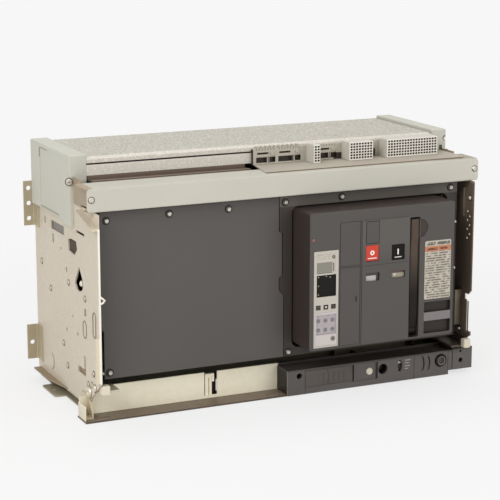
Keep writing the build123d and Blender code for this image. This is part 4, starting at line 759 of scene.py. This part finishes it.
# Hood seal: a brown sealing strip that closes the slot between the top beam and the
# hood, with a raised lip along its middle and a turned-up rear edge.
seal_left = -365.0
seal_right = -47.0
seal_strips = ((-114.6, -65.6, 430.6, 433.4), (-93.0, -89.0, 433.2, 434.6), (-67.0, -65.3, 430.6, 439.2))
seal_boxes = [((seal_left, front, foot), (seal_right, rear, top)) for front, rear, foot, top in seal_strips]
seal_brown = moulded("seal_brown", srgb(92, 78, 67), srgb(78, 66, 57), 0.7, 0.3, 700.0)
seal_brown.coat(seal_brown.z.ramp(433.8, 434.3) * seal_brown.y.ramp(-80.0, -84.0), srgb(140, 125, 108))
seal_brown.coat(seal_brown.y.ramp(-70.0, -67.4) * seal_brown.z.ramp(433.4, 434.4), srgb(104, 88, 75))
piece("hood_seal", rounded_boxes("hood_seal", seal_boxes, 0.4), seal_brown, "chassis")


# Auxiliary terminals: a pale grey carrier with free places, and three plug-in blocks with
# rows of square wire entries, painted dark inside as shade. The free places show the teeth
# of the contact combs; painted shade blackens their slots, recesses and the block gaps.
def cycle(place, pitch, start=0.0):
    """Runs from 0 to 1 over each pitch along an axis, for what repeats."""
    return ((place - start) * (1.0 / pitch)).math("FRACT")


terminal_front = -108.0
terminal_foot = 438.4
entry_shade = srgb(34, 29, 26)
entry_middle = 455.9
entry_rows = 6
row_pitch = 5.4
column_pitch = 6.15
entry_width = 0.72
entry_height = 0.68
terminal_grey = moulded("terminal_grey", srgb(206, 202, 191), srgb(194, 190, 178), 0.5, 0.2, 500.0)
mouth = terminal_grey.y.ramp(terminal_front + 0.6, terminal_front + 0.3)
terminal_grey.coat(mouth, srgb(232, 227, 217))
rows_reach = row_pitch * entry_rows / 2
rows = cycle(terminal_grey.z, row_pitch, entry_middle)
rows = rows.within(0.5 - entry_height / 2, 0.5 + entry_height / 2, 0.03)
rows = rows * terminal_grey.z.within(entry_middle - rows_reach, entry_middle + rows_reach)
# Painted shade in the wire entries and inside each block.
for low_x, high_x, count in ((80.0, 94.0, 2), (157.0, 209.0, 8), (240.0, 354.0, 18)):
    reach = column_pitch * count / 2
    middle = (low_x + high_x) / 2
    columns = cycle(terminal_grey.x, column_pitch, middle)
    columns = columns.within(0.5 - entry_width / 2, 0.5 + entry_width / 2, 0.03)
    columns = columns * terminal_grey.x.within(middle - reach, middle + reach)
    terminal_grey.coat(rows * columns * mouth, entry_shade)
    inside = terminal_grey.patch((low_x + 0.6, terminal_foot), (high_x - 0.6, 472.0))
    inside = inside * terminal_grey.y.within(terminal_front + 0.7, terminal_front + 8.0)
    terminal_grey.coat(inside, entry_shade)
clothe(terminal_grey, "terminal_blocks")
carrier_front = -75.0
comb_start = -100.0
comb_pitch = 6.0
tooth_pitch = 4.4
slot_shade = srgb(50, 42, 35)
carrier_grey = moulded("carrier_grey", srgb(186, 181, 169), srgb(172, 166, 153), 0.5, 0.3, 500.0)
# Painted shade on the carrier's recessed faces.
carrier_depth = carrier_grey.y.ramp(carrier_front + 0.7, carrier_front + 1.3)
carrier_grey.coat(carrier_depth * carrier_grey.z.within(terminal_foot, 466.5), slot_shade)
carrier_face = carrier_grey.y.ramp(carrier_front + 0.7, carrier_front + 0.3)
comb = cycle(carrier_grey.x, comb_pitch, comb_start).within(0.1, 0.5, 0.08)
comb = comb * carrier_grey.z.within(464.0, 468.5)
teeth = cycle(carrier_grey.x, tooth_pitch, comb_start).within(0.0, 0.55, 0.1)
teeth = teeth * carrier_grey.z.within(440.0, 452.0)
# Painted shade in the long slot of each free place.
for low_x, high_x in ((-27.0, 14.0), (20.0, 68.0), (104.0, 146.0)):
    free_place = carrier_grey.x.within(low_x, high_x) * carrier_face
    carrier_grey.coat(free_place * comb * 0.7, srgb(120, 108, 92))
    long_slot = carrier_grey.patch((low_x + 2, 456.6), (low_x + 26, 460.4))
    carrier_grey.coat(long_slot * carrier_face, slot_shade)
    carrier_grey.coat(free_place * teeth * 0.85, srgb(74, 62, 50))
# Painted shade in the gaps between the blocks.
gaps = ((139.0, 157.0, 450.0), (209.0, 232.0, 453.0), (209.0, 222.0, 463.0), (354.0, 362.5, 452.0))
for low_x, high_x, gap_top in gaps:
    carrier_grey.coat(carrier_grey.patch((low_x, 437.0), (high_x, gap_top)), slot_shade)
clothe(carrier_grey, "terminal_carrier")
ease_edges(0.0004, "terminal_blocks")

# Racking block: charcoal moulding fixed in front of the base, with the crank socket, the
# release button, the position window and the stored crank. Its seams are dark, painted shade
# darkens its top, its deep holes and the ribs of the padlock plate, and painted light
# brightens its left end face. A plain scale of strokes is by the window.
block_front = -175.0
block_end = -6.0
block_top = 49.7
block_recess = 4.0
charcoal = moulded("charcoal_moulding", srgb(100, 95, 93), srgb(88, 83, 81), 0.42, 0.3, 700.0, specular=0.25)
left_end = charcoal.x.ramp(120.0, 20.0)
charcoal.coat(left_end, srgb(88, 84, 81))
# Painted shade darkens the top face.
charcoal.coat(charcoal.z.ramp(block_top, block_top + 0.2), srgb(64, 58, 54))
# Painted light brightens the left end face.
lit_block_side = charcoal.x.ramp(block_end + 0.5, block_end + 0.1)
lit_block_side = lit_block_side * charcoal.y.ramp(block_front + 0.6, block_front + 1.2)
charcoal.coat(lit_block_side, srgb(136, 128, 121))
front_face = charcoal.y.ramp(block_front + 0.3, block_front + 0.1)
for seam in (31.0, 272.0, 350.0):
    charcoal.coat(charcoal.x.within(seam - 0.9, seam + 0.9) * front_face * 0.7, srgb(52, 46, 43))
# Painted shade in the deep holes.
deep = charcoal.y.ramp(block_front + block_recess, block_front + block_recess + 1.0)
charcoal.coat(deep * charcoal.z.within(2.0, block_top - 0.1), srgb(36, 31, 28))
scale_x = 251.0
for level, length in ((42.0, 13.0), (36.5, 10.0), (30.5, 12.0), (25.0, 8.0)):
    scale_mark = charcoal.patch((scale_x, level - 0.8), (scale_x + length, level + 0.8))
    charcoal.coat(scale_mark * 0.7, srgb(196, 190, 190))
clothe(charcoal, "racking_block")
rib_pitch = 11.0
plate_charcoal = moulded("plate_charcoal", srgb(92, 86, 82), srgb(80, 75, 71), 0.4, 0.3, 700.0, specular=0.25)
# Painted shade marks the ribs of the padlock plate.
ribs = cycle(plate_charcoal.x, rib_pitch).within(0.30, 0.52, 0.1)
ribs = ribs * plate_charcoal.patch((60.0, 17.0), (116.0, 39.0))
plate_charcoal.coat(ribs * 0.55, srgb(58, 53, 50))
clothe(plate_charcoal, "lock_plate")
knob_centre = (333.0, 32.0)
knob_black = moulded("knob_black", srgb(34, 30, 28), srgb(28, 25, 23), 0.35, 0.3, 700.0, specular=0.25)
knob_black.coat(knob_black.disc(knob_centre, 8.6) - knob_black.disc(knob_centre, 6.2), srgb(116, 108, 102))
knob_black.coat(knob_black.disc(knob_centre, 4.4), srgb(76, 70, 66))
clothe(knob_black, "crank_handle")
ease_edges(0.0005, "racking_block", "crank_handle")
cream = moulded("cream_moulding", srgb(222, 214, 194), srgb(208, 198, 176), 0.45, 0.2, 500.0)
clothe(cream, "release_button", "rail_pull_left", "rail_pull_right")
white_plastic = moulded("white_moulding", srgb(255, 246, 222), srgb(240, 230, 206), 0.45, 0.15, 500.0)
clothe(white_plastic, "base_hook")

# Notch shade: a dark sheet of painted shade that stands behind the hook and closes the
# notch of the base channel.
notch_shade_box = ((-162.0, -115.6, 3.1), (-131.0, -114.4, 49.0))
notch_shade_brown = moulded("notch_shade_brown", srgb(52, 43, 38), srgb(42, 35, 31), 0.6, 0.2, 500.0)
piece("notch_shade_sheet", rounded_boxes("notch_shade_sheet", [notch_shade_box], 0.3), notch_shade_brown, "chassis")

# Position window: a dark moulded flag behind the racking block, with a white disc on it
# that a painted shadow cuts to a crescent. It shows how far the breaker is in.
dial_centre = (240.0, 32.0)
shadow_centre = (242.6, 30.2)
dial_white = moulded("dial_white", srgb(58, 52, 49), srgb(50, 44, 42), 0.4, 0.15, 500.0)
# Painted shadow: a disc round shadow_centre keeps the flag's dark colour over most of the white disc.
crescent = dial_white.disc(dial_centre, 7.4) - dial_white.disc(shadow_centre, 6.4)
dial_white.coat(crescent.ramp(0.1, 0.5), srgb(226, 224, 220))
clothe(dial_white, "position_flag")

# Breaker front: a wide blanking plate in warm dark grey powder coat, and the frame
# round the control cover, with painted shade below its top band and on its inner walls.
fascia_front = -157.5
frame_shade = 370.0
blank_coat = painted("blanking_coat", srgb(87, 83, 80), srgb(81, 77, 74), 0.52, 0.14, 900.0, 0.3)
clothe(blank_coat, "blanking_plate")
frame_coat = painted("frame_coat", srgb(96, 91, 85), srgb(88, 83, 78), 0.5, 0.14, 900.0, 0.3)
# Painted shade: the frame is darker below its top band and on its inner walls.
frame_coat.coat(frame_coat.z.ramp(frame_shade, frame_shade - 3), srgb(60, 54, 50))
frame_coat.coat(frame_coat.y.ramp(fascia_front + 0.4, fascia_front + 1.2), srgb(46, 40, 36))
clothe(frame_coat, "front_frame")
ease_edges(0.0005, "front_frame", "blanking_plate")

# Fascia screws: zinc-plated pan heads with a cross recess on large black washers. They
# hold the blanking plate and the frame of the front.
fascia_places = ((-363, 372), (-241, 375), (-122, 374), (-5, 377.5), (115, 379), (356, 378.5),
                 (-361, 88), (2, 84.5))
fascia_points = [((x, fascia_front, z), (0, -1, 0)) for x, z in fascia_places]
fascia_sizes = {"Washer Radius": 7.5, "Washer Rise": 1.2, "Head Radius": 4.9, "Head Rise": 3.4,
                "Recess Length": 5.6, "Recess Width": 1.3, "Cross Length": 5.6}
fascia_heads = screw.make("fascia_heads", fascia_points, "breaker", fascia_sizes, zinc_on_dark)
clothe(zinc, "fascia_screws")
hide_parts("fascia_screws")

# Right side: the guide strips and the folded guide angle on the inner face of the right
# plate, two bolts of that plate, and two bright spring clips at the edge of the frame.
strip_zinc = sheet_steel("strip_zinc", srgb(124, 113, 97), srgb(104, 94, 80), 0.3, 0.45)
strip_boxes = [((386.0, -160.0, 318.0), (390.0, -158.4, 376.0)),
               ((375.0, -155.0, 96.0), (390.0, -153.4, 168.0)),
               ((387.8, -178.0, 84.0), (389.9, -156.0, 152.0)),
               ((388.6, -184.0, 88.0), (389.9, -180.5, 150.0))]
piece("guide_strips", rounded_boxes("guide_strips", strip_boxes, 0.35), strip_zinc, "chassis")
bolt_places = [((390.0, -178.0, 358.0), (-1, 0, 0)), ((390.0, -152.0, 86.0), (-1, 0, 0))]
bolt_sizes = {"Washer Radius": 5.6, "Washer Rise": 0.8, "Head Radius": 4.4, "Head Rise": 3.0,
              "Recess Length": 4.0}
screw.make("plate_bolt", bolt_places, "chassis", bolt_sizes, zinc_on_dark)
clip_places = [((368.6, fascia_front, z), (0, -1, 0)) for z in (309.0, 215.6)]
clip_sizes = {"Washer Radius": 2.8, "Washer Rise": 0.5, "Head Radius": 2.7, "Head Rise": 2.4,
              "Recess Length": 1.0, "Recess Width": 0.4, "Cross Length": 1.0}
screw.make("frame_clips", clip_places, "breaker", clip_sizes,
           {"Head Finish": nub_white, "Washer Finish": dark_washer})

# Control cover: a deep moulding with a fine-textured grey face. Its side walls, the well
# of the charging handle and the label pockets lie in dark brown shade, and a plain pale
# bar runs across between the pockets.
cover_front = -227.0
pocket_top = 177.0
pale_bar = ((261.0, 133.0), (320.0, 150.0))
tiny_slot_shade = ((109.8, 188.0), (113.0, 199.0))
cover_grey = moulded("cover_grey", srgb(80, 76, 73), srgb(74, 70, 67), 0.5, 0.25, 900.0, specular=0.3)
behind_face = cover_grey.y.ramp(cover_front + 0.5, cover_front + 1.6)
cover_grey.coat(behind_face, srgb(58, 50, 47))
well_top = cover_grey.x.within(224.0, 250.6)
well_top = well_top * cover_grey.z.ramp(190.0, 280.0) * cover_grey.z.ramp(350.0, 349.0)
cover_grey.coat(behind_face * well_top, srgb(92, 80, 71))
pockets = cover_grey.x.within(259.0, 322.0) * cover_grey.z.ramp(pocket_top, pocket_top - 1)
cover_grey.coat(behind_face * pockets, srgb(44, 37, 34))
cover_face = cover_grey.y.ramp(cover_front + 0.6, cover_front + 0.2)
cover_grey.coat(cover_grey.patch(*pale_bar) * cover_face, srgb(124, 117, 118))
# Painted shade in a small slot of the cover.
cover_grey.coat(cover_grey.patch(*tiny_slot_shade), srgb(36, 30, 28))
clothe(cover_grey, "front_cover")

# Centre panel: the removable button plate. It stands a little proud, and its rim and
# the groove round the lock field are dark. Towards its top it is a little paler.
panel_front = -228.2
panel_shade = srgb(34, 29, 27)
lock_low = (132.0, 299.0)
lock_high = (158.0, 340.0)
groove = 1.5
panel_grey = moulded("panel_grey", srgb(82, 78, 75), srgb(76, 72, 70), 0.5, 0.25, 900.0, specular=0.3)
panel_grey.coat(panel_grey.y.ramp(panel_front + 0.2, panel_front + 0.5), panel_shade)
lock_field = panel_grey.patch(lock_low, lock_high)
around = panel_grey.patch([low - groove for low in lock_low], [high + groove for high in lock_high])
panel_grey.coat((around - lock_field).ramp(0.2, 0.8), panel_shade)
panel_grey.coat(panel_grey.z.ramp(262.0, 300.0) * (1.0 - around) * 0.5, srgb(94, 90, 86))
clothe(panel_grey, "centre_panel")

# Charging handle: a long dark moulded lever that lies in its well, a little lighter
# towards its top.
handle_brown = moulded("handle_brown", srgb(30, 25, 22), srgb(24, 20, 18), 0.5, 0.25, 900.0, specular=0.15)
handle_brown.coat(handle_brown.z.ramp(190.0, 270.0), srgb(80, 69, 60))
clothe(handle_brown, "charging_handle")
ease_edges(0.0006, "front_cover", "centre_panel", "charging_handle")


# Push buttons: an orange-red OFF button with a white ring and a black ON button with a
# white stroke, each with a plain pale bar under its mark. The marks are inlaid. The
# small reset button is a dull pink.
def around_centre(centre, half_width, half_height, drop=0.0):
    """The low and high corners of a mark, by how far it reaches and how far it lies below."""
    low = (centre[0] - half_width, centre[1] - drop - half_height)
    high = (centre[0] + half_width, centre[1] - drop + half_height)
    return low, high


off_centre = (144.7, 280.0)
on_centre = (200.6, 277.5)
bar_drop = 10.5
mark_white = srgb(238, 232, 226)
signal_red = moulded("signal_red", srgb(202, 64, 42), srgb(188, 54, 36), 0.4, 0.15, 500.0)
signal_red.coat(signal_red.z.ramp(267.0, 264.0), srgb(120, 36, 28))
signal_red.coat(signal_red.disc(off_centre, 4.6) - signal_red.disc(off_centre, 2.0), mark_white)
off_bar = signal_red.patch(*around_centre(off_centre, 9.5, 1.0, bar_drop))
signal_red.coat(off_bar * 0.8, mark_white)
clothe(signal_red, "off_button")
button_black = moulded("button_black", srgb(24, 20, 20), srgb(19, 16, 16), 0.4, 0.2, 600.0, specular=0.12)
button_black.coat(button_black.patch(*around_centre(on_centre, 1.4, 5.4)), mark_white)
on_bar = button_black.patch(*around_centre(on_centre, 7.5, 0.9, bar_drop))
button_black.coat(on_bar * 0.75, mark_white)
clothe(button_black, "on_button")
reset_pink = moulded("reset_pink", srgb(158, 96, 92), srgb(140, 80, 78), 0.4, 0.15, 500.0)
clothe(reset_pink, "reset_button")

# State windows: a white flag for the spring and a beige one for the contacts, each with
# the shade of its window's edges. The contact flag carries a plain pale spot.
spring_flag = moulded("spring_flag", srgb(196, 192, 190), srgb(172, 168, 166), 0.45, 0.15, 500.0)
spring_flag.coat(spring_flag.z.ramp(234.4, 235.0), srgb(72, 66, 62))
spring_flag.coat(spring_flag.x.ramp(155.0, 155.8), srgb(84, 78, 74))
clothe(spring_flag, "charge_flag")
state_beige = moulded("state_beige", srgb(168, 162, 142), srgb(146, 140, 122), 0.45, 0.15, 500.0)
state_beige.coat(state_beige.disc((196.0, 232.0), 3.2), srgb(206, 200, 184))
state_beige.coat(state_beige.z.ramp(234.6, 235.4), srgb(104, 84, 72))
state_beige.coat(state_beige.z.ramp(226.4, 225.8), srgb(92, 82, 68))
clothe(state_beige, "contact_flag")

# Trip unit: light warm grey moulding with a screwed head, a grey-green display with dark
# edges, a black screen with a few pale points, and a field of six blue-grey dials.
head_screw = (62.5, 280.0)
head_text = ((29.0, 274.5), (56.0, 287.0))
display = ((27.0, 252.0), (60.0, 271.0))
display_side = ((61.6, 252.5), (63.6, 269.0))
display_sill = ((27.0, 250.0), (60.0, 251.6))
screen = ((26.8, 204.8), (67.7, 246.7))
screen_points = ((31.5, 243.0), (48.0, 243.6), (56.0, 241.5), (31.5, 226.0), (31.5, 209.0))
dial_field = ((24.0, 109.5), (70.5, 174.0))
dials = [(x, z) for x in (32.0, 47.0, 62.0) for z in (140.0, 158.0)]
trip_grey = moulded("trip_grey", srgb(192, 186, 175), srgb(182, 176, 165), 0.45, 0.2, 600.0, specular=0.2)
trip_grey.coat(trip_grey.patch(*display), srgb(135, 132, 121))
trip_grey.coat(trip_grey.patch(*display_side), srgb(70, 66, 58))
trip_grey.coat(trip_grey.patch(*display_sill), srgb(104, 100, 90))
trip_grey.coat(trip_grey.disc(head_screw, 3.4), srgb(104, 94, 78))
trip_grey.coat(trip_grey.disc(head_screw, 1.5), srgb(150, 140, 120))
head_lines = cycle(trip_grey.z, 4.0).within(0.2, 0.6, 0.1)
head_dashes = trip_grey.noise(1.0, 2.0, (420.0, 1.0, 260.0)).ramp(0.46, 0.54)
head_marks = trip_grey.patch(*head_text) * head_lines * head_dashes
trip_grey.coat(head_marks * 0.5, srgb(124, 116, 102))
trip_grey.coat(trip_grey.patch(*screen), srgb(12, 9, 6))
for point in screen_points:
    trip_grey.coat(trip_grey.disc(point, 1.2), srgb(172, 160, 136))
trip_grey.coat(trip_grey.patch(*dial_field), srgb(188, 178, 182))
for dial in dials:
    trip_grey.coat(trip_grey.disc(dial, 4.4), srgb(78, 84, 98))
clothe(trip_grey, "trip_unit")

# Trip unit keys: dark rubber keys, each with its own plain light mark: two bars, a
# square, and three thin bars.
key_dark = moulded("key_dark", srgb(34, 29, 26), srgb(28, 24, 21), 0.5, 0.2, 600.0, specular=0.15)
for level in (182.6, 186.2):
    key_dark.coat(key_dark.patch((26.6, level - 0.5), (34.0, level + 0.5)), srgb(128, 120, 110))
key_dark.coat(key_dark.patch((44.2, 182.8), (48.8, 186.4)), srgb(200, 192, 182))
for level in (182.2, 184.2, 186.2):
    key_dark.coat(key_dark.patch((59.0, level - 0.35), (65.6, level + 0.35)) * 0.6, srgb(136, 128, 118))
clothe(key_dark, "trip_key_1", "trip_key_2", "trip_key_3")

# Trip unit flap: a thin moulded window, clear in front of the dials and pale round them,
# with a grey wax seal at its foot.
seal_centre = (62.0, 122.0)
clear_field = ((26.5, 131.0), (69.0, 170.0))
clearness = 0.8
flap = moulded("flap_window", srgb(200, 192, 192), srgb(190, 184, 186), 0.3, 0.1, 500.0)
flap.coat(flap.z.ramp(134.0, 128.0), srgb(196, 188, 184))
flap.coat(flap.disc(seal_centre, 5.0), srgb(134, 122, 112))
flap.coat(flap.disc(seal_centre, 2.4), srgb(112, 100, 92))
(1.0 - flap.patch(*clear_field) * clearness).into(flap.shader, "Alpha")
clothe(flap, "trip_flap")

# Rating label: a thin printed foil glued on the cover. It has a pale head, an orange
# band and the ruled lines of a table, and its rows are plain dashes that read as nothing.
label_low = (260.5, 176.0)
label_high = (318.5, 291.5)
label_rise = 0.2
label_round = 1.6
line_pitch = 4.8
band_foot = 270.4
head_foot = 280.6
label_print = moulded("label_print", srgb(190, 182, 168), srgb(178, 170, 156), 0.55, 0.2, 500.0)
words = label_print.noise(1.0, 2.0, (150.0, 1.0, 1000.0 / line_pitch * 0.7))
table_rows = cycle(label_print.z, line_pitch).within(0.20, 0.74, 0.14) * words.ramp(0.38, 0.52)
label_print.coat(table_rows * label_print.x.within(262.0, 317.0) * 0.85, srgb(78, 68, 60))
for column in (281.0, 303.0):
    label_print.coat(label_print.x.within(column - 0.4, column + 0.4) * 0.35, srgb(120, 110, 98))
label_print.coat(label_print.z.ramp(band_foot, band_foot + 0.6), srgb(184, 124, 92))
band_dashes = words.ramp(0.35, 0.5) * label_print.patch((262.0, 273.0), (312.0, 277.4))
label_print.coat(band_dashes * 0.9, srgb(96, 50, 30))
label_print.coat(label_print.z.ramp(head_foot, head_foot + 0.6), srgb(184, 177, 164))
title_dashes = words.ramp(0.42, 0.5) * label_print.patch((264.0, 282.6), (316.0, 288.6))
label_print.coat(title_dashes * 0.85, srgb(72, 64, 56))
build = bmesh.new()
for x in (label_low[0], label_high[0]):
    for y in (cover_front - label_rise, cover_front):
        for z in (label_low[1], label_high[1]):
            build.verts.new(Vector((x, y, z)) * mm)
bmesh.ops.convex_hull(build, input=list(build.verts))
bmesh.ops.dissolve_limit(build, angle_limit=radians(1), verts=build.verts, edges=build.edges)
bmesh.ops.recalc_face_normals(build, faces=build.faces)
corner_edges = [e for e in build.edges if abs(e.verts[0].co.y - e.verts[1].co.y) > 0.5 * label_rise * mm]
bmesh.ops.bevel(build, geom=corner_edges, offset=label_round * mm, segments=3, affect="EDGES")
label_mesh = bpy.data.meshes.new("rating_label")
build.to_mesh(label_mesh)
build.free()
piece("rating_label", label_mesh, label_print, "breaker")
